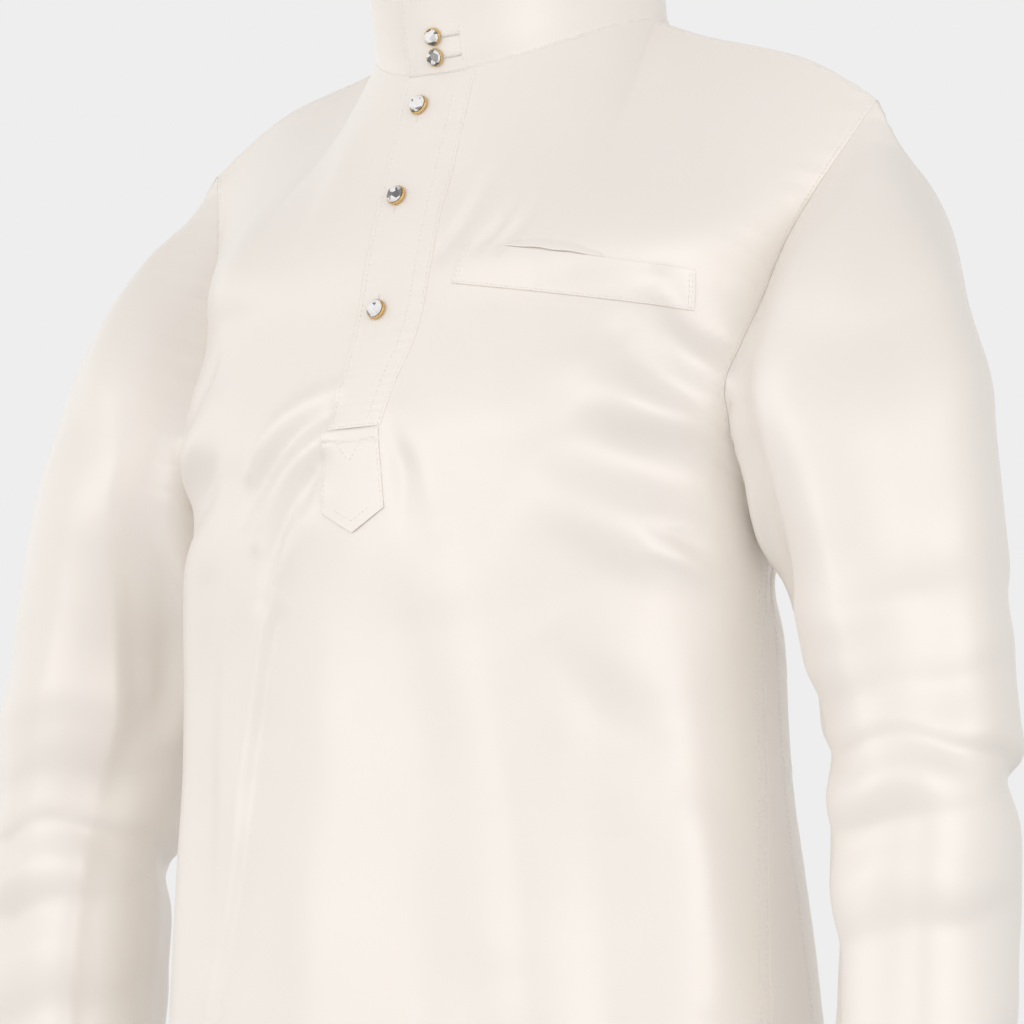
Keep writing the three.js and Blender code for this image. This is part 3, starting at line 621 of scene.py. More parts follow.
def seam_groups(panels):
    """A number for each point of the panels, the same where panels share a seam"""
    points = np.concatenate([panel.grid.reshape(-1, 3) for panel in panels])
    keys = np.round(points * 50).astype(np.int64)
    return np.unique(keys, axis=0, return_inverse=True)[1].reshape(-1)


def share(panels, group, field):
    """Gives the points of a seam one value in all its panels"""
    values = np.concatenate([getattr(panel, field).reshape(-1, 3) for panel in panels])
    counts = np.bincount(group)
    means = [np.bincount(group, weights=values[:, k]) / counts for k in range(3)]
    shared = np.stack(means, axis=1)[group]
    start = 0
    for panel in panels:
        rows, columns = panel.grid.shape[:2]
        part = shared[start:start + rows * columns].reshape(rows, columns, 3)
        setattr(panel, field, unit(part) if field == "normals" else part)
        start += rows * columns


def add_folds(panels, lifts):
    """Moves each panel's points out by its lift, the seams together"""
    group = seam_groups(panels)
    share(panels, group, "normals")
    for panel, lift in zip(panels, lifts):
        panel.grid = panel.grid + panel.normals * lift(panel)[..., None]
    share(panels, group, "grid")
    for panel in panels:
        panel.normals = grid_normals(panel.grid, panel.ring)
    share(panels, group, "normals")


def trunk_lift(panel, gathers):
    lift = line_folds(panel.grid, panel.normals, FOLDS) + undulation(panel.grid)
    return lift + gather(panel, gathers)


def body_lift(panel):
    return trunk_lift(panel, BODY_GATHERS)


def gore_lift(panel):
    return trunk_lift(panel, GORE_GATHERS)


def sleeve_lift(panel):
    down = run_lengths(panel.grid[::-1])[::-1]
    near = np.exp(-(down / 20) ** 2)
    own = ring_folds(panel.grid, panel.normals) + long_folds(panel.grid, panel.turns)
    body = line_folds(panel.grid, panel.normals, FOLDS)
    lift = body * near + own * smoothstep(down, 12, 60) + undulation(panel.grid)
    return lift + gather(panel, SLEEVE_GATHERS)


def leg_lift(panel):
    grid, normals = panel.grid, panel.normals
    facing = np.where(grid[..., :1] < 0, -1.0, 1.0) * np.array([1.0, 0, 0])
    to_left = np.concatenate([facing[..., :1], np.ones_like(grid[..., 1:])], axis=-1)
    lift = line_folds(grid * to_left, normals, LEG_FOLDS) + undulation(grid)
    low = run_lengths(grid)
    return lift + 0.5 * np.exp(-low / 16) * crinkle(grid[..., 0] + grid[..., 1], 13)


# Meshes


def sample(grid, rows, columns):
    """Points or directions of a grid at fractional rows and columns"""
    rows = np.clip(rows, 0, grid.shape[0] - 1.000001)
    columns = np.clip(columns, 0, grid.shape[1] - 1.000001)
    r, c = rows.astype(int), columns.astype(int)
    u, v = (rows - r)[..., None], (columns - c)[..., None]
    low = grid[r, c] * (1 - v) + grid[r, c + 1] * v
    high = grid[r + 1, c] * (1 - v) + grid[r + 1, c + 1] * v
    return low * (1 - u) + high * u


def read_panel(panel, rows, columns):
    """Points of a panel and the outward directions there"""
    return sample(panel.grid, rows, columns), unit(sample(panel.normals, rows, columns))


def linked(name, data):
    """A new object of some data, in the scene"""
    thing = bpy.data.objects.new(name, data)
    bpy.context.scene.collection.objects.link(thing)
    return thing


def mesh_object(name, points, faces, material, uvs=None):
    """A smooth mesh from points in millimetres"""
    mesh = bpy.data.meshes.new(name)
    mesh.from_pydata((np.asarray(points) * MM).tolist(), [], faces)
    mesh.shade_smooth()
    if uvs is not None:
        layer = mesh.uv_layers.new(name="cloth")
        corners = np.zeros(len(mesh.loops), dtype=np.int32)
        mesh.loops.foreach_get("vertex_index", corners)
        layer.data.foreach_set("uv", np.asarray(uvs, np.float32)[corners].ravel())
    mesh.materials.append(material)
    mesh.update()
    return linked(name, mesh)


def wall_faces(rows, columns, ring):
    ids = np.arange(rows * columns).reshape(rows, columns)
    wide = closed(ids, ring)
    a, b = wide[:-1, :-1].ravel(), wide[:-1, 1:].ravel()
    c, d = wide[1:, 1:].ravel(), wide[1:, :-1].ravel()
    shift = rows * columns
    faces = [np.stack([a, b, c, d], 1), np.stack([a, d, c, b], 1) + shift]

    def rim(line):
        p, q = line[:-1], line[1:]
        faces.append(np.stack([q, p, p + shift, q + shift], 1))

    rim(wide[0])
    rim(wide[-1][::-1])
    if not ring:
        rim(ids[:, 0][::-1])
        rim(ids[:, -1])
    return np.concatenate(faces).tolist()


def near_rims(count, closed):
    """Row or column places with a few more beside each rim, so that it can be rounded"""
    if closed:
        return np.arange(count, dtype=float)
    extra = [0, 0.06, 0.18, 0.45]
    whole = np.arange(1, count - 1, dtype=float)
    return np.concatenate([extra, whole, [count - 1 - e for e in reversed(extra)]])


def round_rim(grid, ring, radius):
    """1 inside, falling to 0 in a half round at the open rims"""
    def inside(axis):
        up = run_lengths(grid, axis)
        return np.minimum(up, np.take(up, [-1], axis=axis) - up)

    away = inside(0)
    if not ring:
        away = np.minimum(away, inside(1))
    t = np.clip(away / radius, 0, 1)
    return np.sqrt(np.clip(1 - (1 - t) ** 2, 0, 1))


def cloth(name, panel, material, thickness=CLOTH):
    """A thin shell inside a panel's face, with rounded rims"""
    rows = near_rims(panel.grid.shape[0], False)
    columns = near_rims(panel.grid.shape[1], panel.ring)
    at_rows, at_columns = np.meshgrid(rows, columns, indexing="ij")
    grid = sample(closed(panel.grid, panel.ring), at_rows, at_columns)
    normals = unit(sample(closed(panel.normals, panel.ring), at_rows, at_columns))
    half = thickness / 2
    full = np.maximum(round_rim(grid, panel.ring, half)[..., None], 0.12)
    middle = grid - normals * half
    outer = middle + normals * half * full
    inner = middle - normals * half * full
    across = run_lengths(grid, 1).max(axis=0)
    up = run_lengths(grid, 0).max(axis=1)
    u = np.broadcast_to(across * MM, at_rows.shape)
    v = np.broadcast_to(up[:, None] * MM, at_rows.shape)
    uvs = np.stack([u.ravel(), v.ravel()], axis=1)
    points = np.concatenate([outer.reshape(-1, 3), inner.reshape(-1, 3)])
    faces = wall_faces(grid.shape[0], grid.shape[1], panel.ring)
    return mesh_object(name, points, faces, material, np.concatenate([uvs, uvs]))


def dress(piece, *nodes, slot="satin"):
    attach(piece, "root")
    if nodes:
        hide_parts(*nodes)
    return piece


def sheet_piece(name, panel, *nodes, thickness=CLOTH, held="hung", rests_on=()):
    """A piece of cloth that stands for the frame's nodes"""
    piece = dress(cloth(name, panel, SATIN, thickness), *nodes)
    return piece


# Stitches


def edge_line(panel, edge, inset, start=0.0, end=1.0):
    """Points and outward directions along a line at one distance from a panel's edge"""
    grid = closed(turned_to(panel.grid, edge), panel.ring)
    normals = closed(turned_to(panel.normals, edge), panel.ring)
    lengths = run_lengths(grid)
    columns = np.arange(grid.shape[1])
    rows = np.array([np.interp(inset, lengths[:, c], np.arange(len(lengths))) for c in columns])
    first = round(start * (len(columns) - 1))
    last = round(end * (len(columns) - 1)) + 1
    rows, columns = rows[first:last], columns[first:last].astype(float)
    return sample(grid, rows, columns), unit(sample(normals, rows, columns))


def stitch_row(line, spacing=STITCH_SPACING, length=STITCH_LENGTH, width=STITCH_WIDTH):
    """Lens-shaped stitches along a line of points and outward directions"""
    points, normals = line
    lengths = run_lengths(points)
    middles = np.arange(spacing / 2, lengths[-1] - spacing / 2 + 1e-6, spacing)
    start = read_line(points, lengths, middles - length / 2)
    end = read_line(points, lengths, middles + length / 2)
    middle = read_line(points, lengths, middles)
    up = unit(read_line(normals, lengths, middles))
    side = unit(np.cross(end - start, up))
    sway = side * 0.1 * np.sin(np.arange(len(middles)) * 2.4)[:, None]
    high = middle + up * width * 1.3
    low = middle - up * width * 0.6
    rim = [start, end, middle + side * width, high, middle - side * width, low]
    return np.stack([corner + sway for corner in rim], axis=1)


def edge_stitches(panel, *edges):
    """Stitches along a panel's edges: each has an edge, an inset and maybe a start and an end"""
    return [stitch_row(edge_line(panel, *edge)) for edge in edges]


def bar_row(line, spread, spacing=0.5, width=0.26):
    """Close stitches that lie across a line, as on a buttonhole or a bar"""
    points, normals = line
    lengths = run_lengths(points)
    middles = np.arange(spacing / 2, lengths[-1], spacing)
    middle = read_line(points, lengths, middles)
    up = unit(read_line(normals, lengths, middles))
    ahead = read_line(points, lengths, middles + 0.1) - read_line(points, lengths, middles - 0.1)
    side = unit(np.cross(ahead, up)) * spread
    along = unit(ahead) * width
    rim = [middle - side, middle + side, middle + along, middle + up * 0.5, middle - along]
    rim.append(middle - up * 0.1)
    return np.stack(rim, axis=1)


def sew(name, rows):
    """One piece of all the given stitches"""
    stitches = np.concatenate(rows)
    faces = []
    for k in range(4):
        a, b = 2 + k, 2 + (k + 1) % 4
        faces += [(0, b, a), (1, a, b)]
    starts = np.arange(len(stitches))[:, None, None] * 6
    all_faces = (np.array(faces)[None] + starts).reshape(-1, 3).tolist()
    return dress(mesh_object(name, stitches.reshape(-1, 3), all_faces, THREAD))


def line_between(panel, rows, columns, count=60):
    """A straight line over a panel's grid, given in shares of its height and width"""
    top, side = panel.grid.shape[0] - 1, panel.grid.shape[1] - 1
    r = np.linspace(rows[0], rows[1], count) * top
    c = np.linspace(columns[0], columns[1], count) * side
    return read_panel(panel, r, c)


# Materials


def set_inputs(node, values):
    for socket, value in values.items():
        node.inputs[socket].default_value = value


def node_material(name):
    material = bpy.data.materials.new(name)
    material.use_nodes = True
    nodes = material.node_tree.nodes
    shader = nodes["Principled BSDF"]
    return material, nodes, material.node_tree.links, shader


def noise_node(nodes, links, vector, scale, detail=2.0):
    noise = nodes.new("ShaderNodeTexNoise")
    set_inputs(noise, {"Scale": scale, "Detail": detail})
    links.new(vector, noise.inputs["Vector"])
    return noise.outputs["Fac"]


def ramp_node(nodes, links, value, *stops):
    ramp = nodes.new("ShaderNodeValToRGB")
    elements = ramp.color_ramp.elements
    while len(elements) < len(stops):
        elements.new(0.5)
    for element, (position, colour) in zip(elements, stops):
        element.position = position
        element.color = (*colour, 1)
    links.new(value, ramp.inputs["Fac"])
    return ramp.outputs["Color"]


def bump_node(nodes, links, shader, height, strength, distance):
    bump = nodes.new("ShaderNodeBump")
    set_inputs(bump, {"Strength": strength, "Distance": distance})
    links.new(height, bump.inputs["Height"])
    links.new(bump.outputs["Normal"], shader.inputs["Normal"])


def satin_material(name, base, shade):
    """Smooth satin: broad tone changes, a fine slubbed weave, and a soft metallic sheen"""
    material, nodes, links, shader = node_material(name)
    place = nodes.new("ShaderNodeTexCoord")
    tone = noise_node(nodes, links, place.outputs["Object"], 6.0, 3.0)
    colour = ramp_node(nodes, links, tone, (0.35, shade), (0.62, base))
    links.new(colour, shader.inputs["Base Color"])
    set_inputs(shader, {"Roughness": 0.44, "Metallic": 0.16, "Sheen Weight": 0.15,
                        "Sheen Roughness": 0.35, "Specular IOR Level": 0.5})
    threads = nodes.new("ShaderNodeTexWave")
    threads.wave_type = "BANDS"
    threads.bands_direction = "DIAGONAL"
    set_inputs(threads, {"Scale": 420.0, "Distortion": 1.2})
    links.new(place.outputs["UV"], threads.inputs["Vector"])
    slub = noise_node(nodes, links, place.outputs["Object"], 240.0)
    mix = nodes.new("ShaderNodeMath")
    mix.operation = "ADD"
    links.new(threads.outputs["Fac"], mix.inputs[0])
    links.new(slub, mix.inputs[1])
    bump_node(nodes, links, shader, mix.outputs["Value"], 0.06, 0.0002)
    return material


def mottled_material(name, grain, stops, values, bump=None):
    """One shader between two colours by noise: grain is its scale and detail"""
    material, nodes, links, shader = node_material(name)
    place = nodes.new("ShaderNodeTexCoord")
    noise = noise_node(nodes, links, place.outputs["Object"], *grain)
    links.new(ramp_node(nodes, links, noise, *stops), shader.inputs["Base Color"])
    set_inputs(shader, values)
    if bump:
        bump_node(nodes, links, shader, noise, *bump)
    return material


def crystal_material():
    """Clear stone with painted reflections: a cell pattern paints its facets light and dark in the
    base colour
    """
    material, nodes, links, shader = node_material("crystal_painted_glints")
    place = nodes.new("ShaderNodeTexCoord")
    cells = nodes.new("ShaderNodeTexVoronoi")
    cells.inputs["Scale"].default_value = 330.0
    links.new(place.outputs["Object"], cells.inputs["Vector"])
    split = nodes.new("ShaderNodeSeparateColor")
    links.new(cells.outputs["Color"], split.inputs["Color"])
    # Painted reflections: each cell gets a grey from dark to white, standing in for what the facets
    # would mirror
    colour = ramp_node(nodes, links, split.outputs["Red"], (0.0, (0.12, 0.12, 0.12)),
                       (0.24, (0.3, 0.3, 0.3)), (0.28, (0.85, 0.85, 0.85)), (0.5, (1.0, 1.0, 1.0)))
    links.new(colour, shader.inputs["Base Color"])
    set_inputs(shader, {"Roughness": 0.03, "Transmission Weight": 0.12, "IOR": 1.7})
    return material


SATIN = satin_material("ivory_satin", (0.922, 0.88, 0.832), (0.908, 0.862, 0.81))
THREAD = mottled_material(
    "silk_thread", (900.0, 2.0), ((0.3, (0.98, 0.965, 0.93)), (0.7, (1.0, 0.99, 0.96))),
    {"Roughness": 0.5, "Sheen Weight": 0.4}, bump=(0.3, 0.0002))
GOLD = mottled_material(
    "polished_gold", (500.0, 4.0), ((0.3, (0.72, 0.47, 0.16)), (0.7, (0.86, 0.62, 0.27))),
    {"Metallic": 1.0, "Roughness": 0.2}, bump=(0.1, 0.0001))
CRYSTAL = crystal_material()
FOIL = mottled_material(
    "silver_foil", (400.0, 2.0), ((0.35, (0.6, 0.62, 0.66)), (0.65, (0.88, 0.9, 0.92))),
    {"Metallic": 1.0, "Roughness": 0.08})


# What lies on the front panel


def places_on(panel, x, z):
    """Rows and columns of a panel's grid where it has the given x and z"""
    step = 6
    coarse = panel.grid[::step, ::step]
    flat = coarse.reshape(-1, 3)
    away = (flat[:, 0] - x.reshape(-1, 1)) ** 2 + (flat[:, 2] - z.reshape(-1, 1)) ** 2
    near = away.argmin(axis=1)
    rows = (near // coarse.shape[1]).reshape(x.shape) * float(step)
    columns = (near % coarse.shape[1]).reshape(x.shape) * float(step)
    top, side = panel.grid.shape[0] - 1.0, panel.grid.shape[1] - 1.0
    for _ in range(8):
        rows, columns = np.clip(rows, 1, top - 1), np.clip(columns, 1, side - 1)
        here = sample(panel.grid, rows, columns)
        up = (sample(panel.grid, rows + 1, columns) - sample(panel.grid, rows - 1, columns)) / 2
        on = (sample(panel.grid, rows, columns + 1) - sample(panel.grid, rows, columns - 1)) / 2
        ex, ez = x - here[..., 0], z - here[..., 2]
        area = up[..., 0] * on[..., 2] - on[..., 0] * up[..., 2]
        rows = rows + np.clip((ex * on[..., 2] - on[..., 0] * ez) / area, -4, 4)
        columns = columns + np.clip((up[..., 0] * ez - ex * up[..., 2]) / area, -4, 4)
    return rows, columns


def laid_panel(front, x, z, height):
    """A panel that lies on the front at places of given x and z"""
    points, normals = read_panel(front, *places_on(front, x, z))
    return Panel(points + normals * height[..., None])


LAID = LAY_GAP + TRIM_CLOTH


def laid_piece(name, panel, *nodes, thickness=TRIM_CLOTH):
    sheet_piece(name, panel, *nodes, thickness=thickness, held="laid", rests_on=["front_panel_cloth"])


def shares(rows, columns):
    """Shares of the height and of the width at each point of a grid"""
    return np.meshgrid(np.linspace(0, 1, rows), np.linspace(0, 1, columns), indexing="ij")


def make_placket(front):
    up, across = shares(150, 40)
    row = read_table(PLACKET, 1 - up)
    x = row["left"] + (row["right"] - row["left"]) * across
    along = (1 - up) * 200
    height = LAID + 0.35 * np.sin(math.pi * across)
    height = height + 0.12 * crinkle(along, 9) * (0.4 + np.exp(-across * 12))
    height = height + 0.14 * crinkle(along + 5, 8) * np.exp(-((across - 0.85) / 0.12) ** 2)
    height = height - 0.3 * np.exp(-(1 - across) * 20) - 0.3 * np.exp(-up * 60)
    z = row["z"] + PLACKET_TOP * np.clip(up * 8 - 7, 0, 1) * (1 + (x / 27) ** 2 * 0.5)
    panel = laid_panel(front, x, z, height)
    laid_piece("placket_cloth", panel, "placket_band")
    rows = edge_stitches(panel, ("left", 2.6), ("right", 1.6), ("right", 10.0, 0.06, 0.94),
                         ("bottom", 1.5))
    for x, z in PLACKET_STUDS:
        end = z + (BAR_OFF if z < LAST_BAR else -BAR_OFF)
        levels = np.linspace(end - BAR_LENGTH / 2, end + BAR_LENGTH / 2, 9)
        at = places_on(panel, np.full(9, float(x)), levels)
        rows.append(bar_row(read_panel(panel, *at), 0.9))
    sew("placket_stitches", rows)
    return panel


def make_tab(front):
    up, across = shares(60, 48)
    low = TAB["corner"] + (TAB["point"] - TAB["corner"]) * (1 - np.abs(2 * across - 1))
    right = TAB["right"][0] + (TAB["right"][1] - TAB["right"][0]) * up
    x = TAB["left"] + (right - TAB["left"]) * across
    z = low + (TAB["top"] - low) * up
    seam = TAB["top"] - TAB_SEAM
    edge = np.exp(-across * 16) + np.exp(-(1 - across) * 16)
    height = LAID + 0.3 * np.sin(math.pi * across) + 0.2 * np.exp(-up * 14) + 0.1 * edge
    height = height - 0.5 * np.exp(-((z - seam) / 0.8) ** 2)
    height = height + 0.1 * crinkle(z, 8) * edge - 0.25 * np.exp(-(1 - across) * 24)
    panel = laid_panel(front, x, z, height)
    laid_piece("placket_tab_cloth", panel, "placket_tab")
    seam_up = 1 - TAB_SEAM / (TAB["top"] - TAB["corner"])
    small = [(seam_up, seam_up - 0.17), (seam_up - 0.17, seam_up)]
    edges = (("left", 1.6, 0.0, 0.84), ("right", 1.6, 0.0, 0.84), ("bottom", 6.6, 0.16, 0.84))
    sew("tab_stitches", [
        *edge_stitches(panel, *edges),
        stitch_row(line_between(panel, (seam_up + 0.02, seam_up + 0.02), (0.02, 0.98))),
        stitch_row(line_between(panel, small[0], (0.25, 0.48))),
        stitch_row(line_between(panel, small[1], (0.48, 0.71))),
    ])


def welt_top(share):
    return WELT["z"][0] + (WELT["z"][1] - WELT["z"][0]) * share


def make_welt(front):
    up, across = shares(26, 110)
    x = WELT["x"][0] + (WELT["x"][1] - WELT["x"][0]) * across
    x = x - WELT["slant"] * (1 - up) * (1 - across)
    z = welt_top(across) - WELT["height"] * (1 - up)
    height = LAID + 0.3 * np.sin(math.pi * up) + 0.1 * np.exp(-up * 12)
    height = height + 0.12 * crinkle(x, 21)
    panel = laid_panel(front, x, z, height)
    laid_piece("pocket_welt_cloth", panel, "pocket_welt")
    edges = (("left", 1.6), ("left", 3.4), ("right", 1.6), ("right", 3.4), ("bottom", 1.3))
    sew("welt_stitches", edge_stitches(panel, *edges))


def make_mouth(front):
    """The rolled edge of the panel where the pocket gapes over the welt"""
    up, across = shares(12, 90)
    share_along = MOUTH["start"] + (MOUTH["end"] - MOUTH["start"]) * across
    x = WELT["x"][0] + (WELT["x"][1] - WELT["x"][0]) * share_along
    open_here = np.sin(math.pi * across) ** 0.7
    dip = 1.2 * np.sin(x / 5.1) * np.sin(x / 11.7 + 0.8) + 0.8 * np.sin(x / 3.1)
    low = welt_top(share_along) + (0.5 - 0.3 * dip) * open_here
    z = low + MOUTH["reach"] * up * (0.3 + 0.7 * open_here)
    rise = MOUTH["rise"] * open_here * (1 - up) ** 0.8
    height = LAID * (1 - smoothstep(up, 0.05, 0.6)) + rise - 0.5 * smoothstep(up, 0.3, 0.8)
    panel = laid_panel(front, x, z, height)
    laid_piece("pocket_mouth_cloth", panel, thickness=MOUTH_CLOTH)


# The collar


def collar_points(place, level):
    """The collar's outer face at a place in quarter turns and a share of its height"""
    flat = np.where(place < 0, -place, np.where(place > 4, place - 4, np.minimum(place, 4 - place)))
    base = neck_point(flat)
    on_right = ((place > 0) & (place < 2)) | (place > 4)
    base[..., 0] *= np.where(on_right, -1, 1)
    out = unit(base * np.array([1.0, 1.0, 0.0]))
    lap = COLLAR_STEP * smoothstep(place, 3.1, 3.75)
    step = lap - COLLAR_TUCK * (1 - smoothstep(place, 0.1, 0.6))
    step = step * (0.55 + 0.45 * smoothstep(level, 0, 0.25))
    wave = 0.5 * np.sin(place * 5.3 + 0.6) * level + 0.5 * np.sin(place * 11 + 2) * level ** 2
    pinch = 0.35 * crinkle(place * 129, 9) * np.exp(-((level - 0.05) / 0.06) ** 2)
    points = base + out * (step + 0.6 * level ** 3 + wave + pinch)[..., None]
    points[..., 1] -= COLLAR_FORWARD * level
    points[..., 2] += COLLAR_LIFT + (COLLAR_HEIGHT - COLLAR_LIFT) * level
    points[..., 2] -= COLLAR_DROP * (1 - level) ** 3
    return points


def make_collar():
    places = np.linspace(COLLAR_END, COLLAR_START, COLLAR_COLUMNS + 1)
    levels = np.linspace(0, 1, COLLAR_ROWS + 1)
    level, place = np.meshgrid(levels, places, indexing="ij")
    panel = Panel(collar_points(place, level))
    sheet_piece("collar_cloth", panel, "collar_band", thickness=COLLAR_CLOTH)
    span = COLLAR_END - COLLAR_START

    def across(where):
        return (COLLAR_END - where) / span

    hidden = across(0.14)
    box_start, box_end = across(3.95), across(3.845)
    rows = [
        *edge_stitches(panel, ("left", 1.9), ("bottom", 1.8, 0, hidden), ("top", 2.2, 0, hidden)),
        stitch_row(line_between(panel, (0.12, 0.6), (box_end, box_end))),
        stitch_row(line_between(panel, (0.6, 0.6), (across(3.875), box_end))),
    ]
    for level in COLLAR_STUD_LEVELS:
        slot = line_between(panel, (level, level), (box_start, box_end))
        for side in (-0.9, 0.9):
            rows.append(bar_row((slot[0] + np.array([0, 0, side]), slot[1]), 0.75))
    sew("collar_stitches", rows)


# Studs


def turned_ring(radius, height, count, scallop=0.0):
    t = np.arange(count) / count * 2 * math.pi
    r = radius * (1 + scallop * np.cos(t * 20))
    return np.stack([r * np.cos(t), r * np.sin(t), np.full(count, height)], axis=1)


def standing(points, at, normal):
    """Turns points whose z goes out of the cloth to stand at a place on it"""
    out = Vector(normal)
    turn = np.array(out.to_track_quat("Z", "Y").to_matrix())
    return points @ turn.T + at


CUP = ((0.0, 0.0), (0.7, 0.0), (0.9, 0.12), (1.0, 0.5), (1.02, 1.0), (0.98, 1.45), (1.0, 1.9),
       (0.97, 2.15), (0.9, 2.2), (0.86, 1.9), (0.5, 0.9), (0.0, 0.8))


def make_cup(name, node, at, normal, scale):
    count = CUP_SIDES
    radius = STUD_RADIUS * scale
    rings = [turned_ring(max(r, 0.01) * radius, h * scale, count, 0.02 if h > 1.4 and r > 0.88 else 0)
             for r, h in CUP]
    points = np.concatenate(rings)
    faces = []
    for k in range(len(CUP) - 1):
        for i in range(count):
            j = (i + 1) % count
            low, high = k * count, (k + 1) * count
            faces.append((low + i, low + j, high + j, high + i))
    piece = mesh_object(name, standing(points, at, normal), faces, GOLD)
    dress(piece, node, slot="gold")


def hull_object(name, points, material):
    """The closed faceted solid around some points"""
    shape = bmesh.new()
    for point in points:
        shape.verts.new(Vector(point * MM))
    bmesh.ops.convex_hull(shape, input=shape.verts)
    bmesh.ops.recalc_face_normals(shape, faces=shape.faces)
    mesh = bpy.data.meshes.new(name)
    shape.to_mesh(mesh)
    shape.free()
    mesh.materials.append(material)
    return linked(name, mesh)


def make_crystal(number, at, normal, scale):
    radius = CRYSTAL_RADIUS * scale

    def ring(share, height, count, turn):
        points = turned_ring(radius * share, height * scale, count)
        angle = math.radians(turn)
        spin = np.array([[math.cos(angle), math.sin(angle), 0],
                         [-math.sin(angle), math.cos(angle), 0], [0, 0, 1]])
        return points @ spin

    crown = [ring(0.5, 5.0, 8, 0), ring(0.82, 4.1, 8, 22.5), ring(1.0, 2.7, 16, 11.25),
             ring(0.99, 2.5, 16, 11.25), ring(0.5, 1.75, 8, 0), ring(0.05, 1.35, 8, 0)]
    gem = hull_object(f"crystal_{number}", standing(np.concatenate(crown), at, normal), CRYSTAL)
    dress(gem, f"stud_crystal_{number}", slot="crystal")
    back = [ring(0.96, 2.2, 16, 11.25), ring(0.48, 1.4, 8, 0), ring(0.05, 0.95, 8, 0)]
    foil = hull_object(f"crystal_foil_{number}", standing(np.concatenate(back), at, normal), FOIL)
    dress(foil, slot="crystal")


def make_studs(placket):
    spots = []
    turn = (4 - COLLAR_STUD_PLACE) * math.pi / 2
    for level in COLLAR_STUD_LEVELS:
        at = collar_points(np.array(COLLAR_STUD_PLACE), np.array(level))
        normal = unit(np.array([math.sin(turn), -math.cos(turn), -COLLAR_FORWARD / COLLAR_HEIGHT]))
        spots.append((at, normal, COLLAR_STUD_SCALE))
    for x, z in PLACKET_STUDS:
        spot = places_on(placket, np.array([float(x)]), np.array([float(z)]))
        points, normals = read_panel(placket, *spot)
        spots.append((points[0], normals[0], 1.0))
    for i, (at, normal, scale) in enumerate(spots):
        at = at + normal * STUD_OFF
        make_cup(f"stud_cup_{i + 1}", f"stud_setting_{i + 1}", at, normal, scale)
        make_crystal(i + 1, at, normal, scale)


# The tunic


def make_tunic():
    front = body_panel(-1)
    back = body_panel(1)
    gore = side_gore(front, back)
    sleeve = sleeve_panel(front, back, gore)
    other_gore = Panel(mirrored(gore.grid))
    other_sleeve = Panel(mirrored(sleeve.grid), ring=True, turns=sleeve.turns[::-1])
    back = Panel(back.grid[:, ::-1])
    panels = {
        "front_panel": (front, body_lift),
        "back_panel": (back, body_lift),
        "side_gore_left": (gore, gore_lift),
        "side_gore_right": (other_gore, gore_lift),
        "sleeve_left": (sleeve, sleeve_lift),
        "sleeve_right": (other_sleeve, sleeve_lift),
    }
    add_folds([panel for panel, _ in panels.values()], [lift for _, lift in panels.values()])
    for name, (panel, _) in panels.items():
        sheet_piece(f"{name}_cloth", panel, name)
    return {name: panel for name, (panel, _) in panels.items()}


def sew_tunic(panels):
    low = BODY_ROWS / (BODY_ROWS + ARMHOLE_ROWS)
    neck = NECK_COLUMNS / HALF_COLUMNS / 2
    rows = []
    for name in ("front_panel", "back_panel", "side_gore_left", "side_gore_right"):
        rows += edge_stitches(panels[name], ("bottom", HEM_DEPTH))
    for name in ("sleeve_left", "sleeve_right"):
        rows += edge_stitches(panels[name], ("bottom", CUFF_HEM_DEPTH))
    for name in ("front_panel", "back_panel"):
        edges = []
        for edge in ("left", "right"):
            edges.append((edge, SIDE_SEAM_INSET, 0, low))
            if name == "front_panel":
                edges.append((edge, SECOND_SEAM_INSET, 0, low))
            edges.append((edge, TOP_SEAM_INSET, low, 1.0))
        edges += [("top", TOP_SEAM_INSET, 0, 0.5 - neck), ("top", TOP_SEAM_INSET, 0.5 + neck, 1)]
        rows += edge_stitches(panels[name], *edges)
    sew("tunic_stitches", rows)


# The trousers


def leg_panel():
    rows = read_table(TROUSERS, np.linspace(0, 1, LEG_ROWS + 1))
    grid = []
    for z, x, a, b, y in zip(rows["z"], rows["x"], rows["a"], rows["b"], rows["y"]):
        middle = (x - LEG_GAP / 2) / a
        opening = math.acos(middle) if middle < 1 else 0
        start = max(opening, LEG_GAP / b)
        angle = np.linspace(start, 2 * math.pi - start, DENSE)
        line = np.stack([x - a * np.cos(angle), y - b * np.sin(angle), np.full(DENSE, z)], 1)
        grid.append(even_points(line, LEG_COLUMNS))
    return Panel(np.array(grid))


def make_waistband():
    base = TROUSERS[-1]
    up = np.linspace(0, 1, WAIST_ROWS + 1)[:, None]
    turn = np.arange(WAIST_COLUMNS)[None, :] / WAIST_COLUMNS * 2 * math.pi
    pleat = 0.8 * np.sin(48 * turn) * (0.75 + 0.25 * np.sin(7 * turn + 1))
    pleat = pleat * (0.6 + 0.4 * np.cos(up * 4 * math.pi))
    a = base["a"] + (WAISTBAND["a"] - base["a"]) * up + pleat
    b = base["b"] + (WAISTBAND["b"] - base["b"]) * up + pleat
    z = WAISTBAND["low"] + (WAISTBAND["top"] - WAISTBAND["low"]) * up + 0 * turn
    grid = np.stack([a * np.sin(turn), WAISTBAND["y"] - b * np.cos(turn), z], axis=2)
    panel = Panel(grid, ring=True)
    sheet_piece("waistband_cloth", panel, "trouser_waistband", thickness=COLLAR_CLOTH,
                held="gathered")
    return edge_stitches(panel, *[("bottom", inset) for inset in WAIST_SEAM_INSETS])


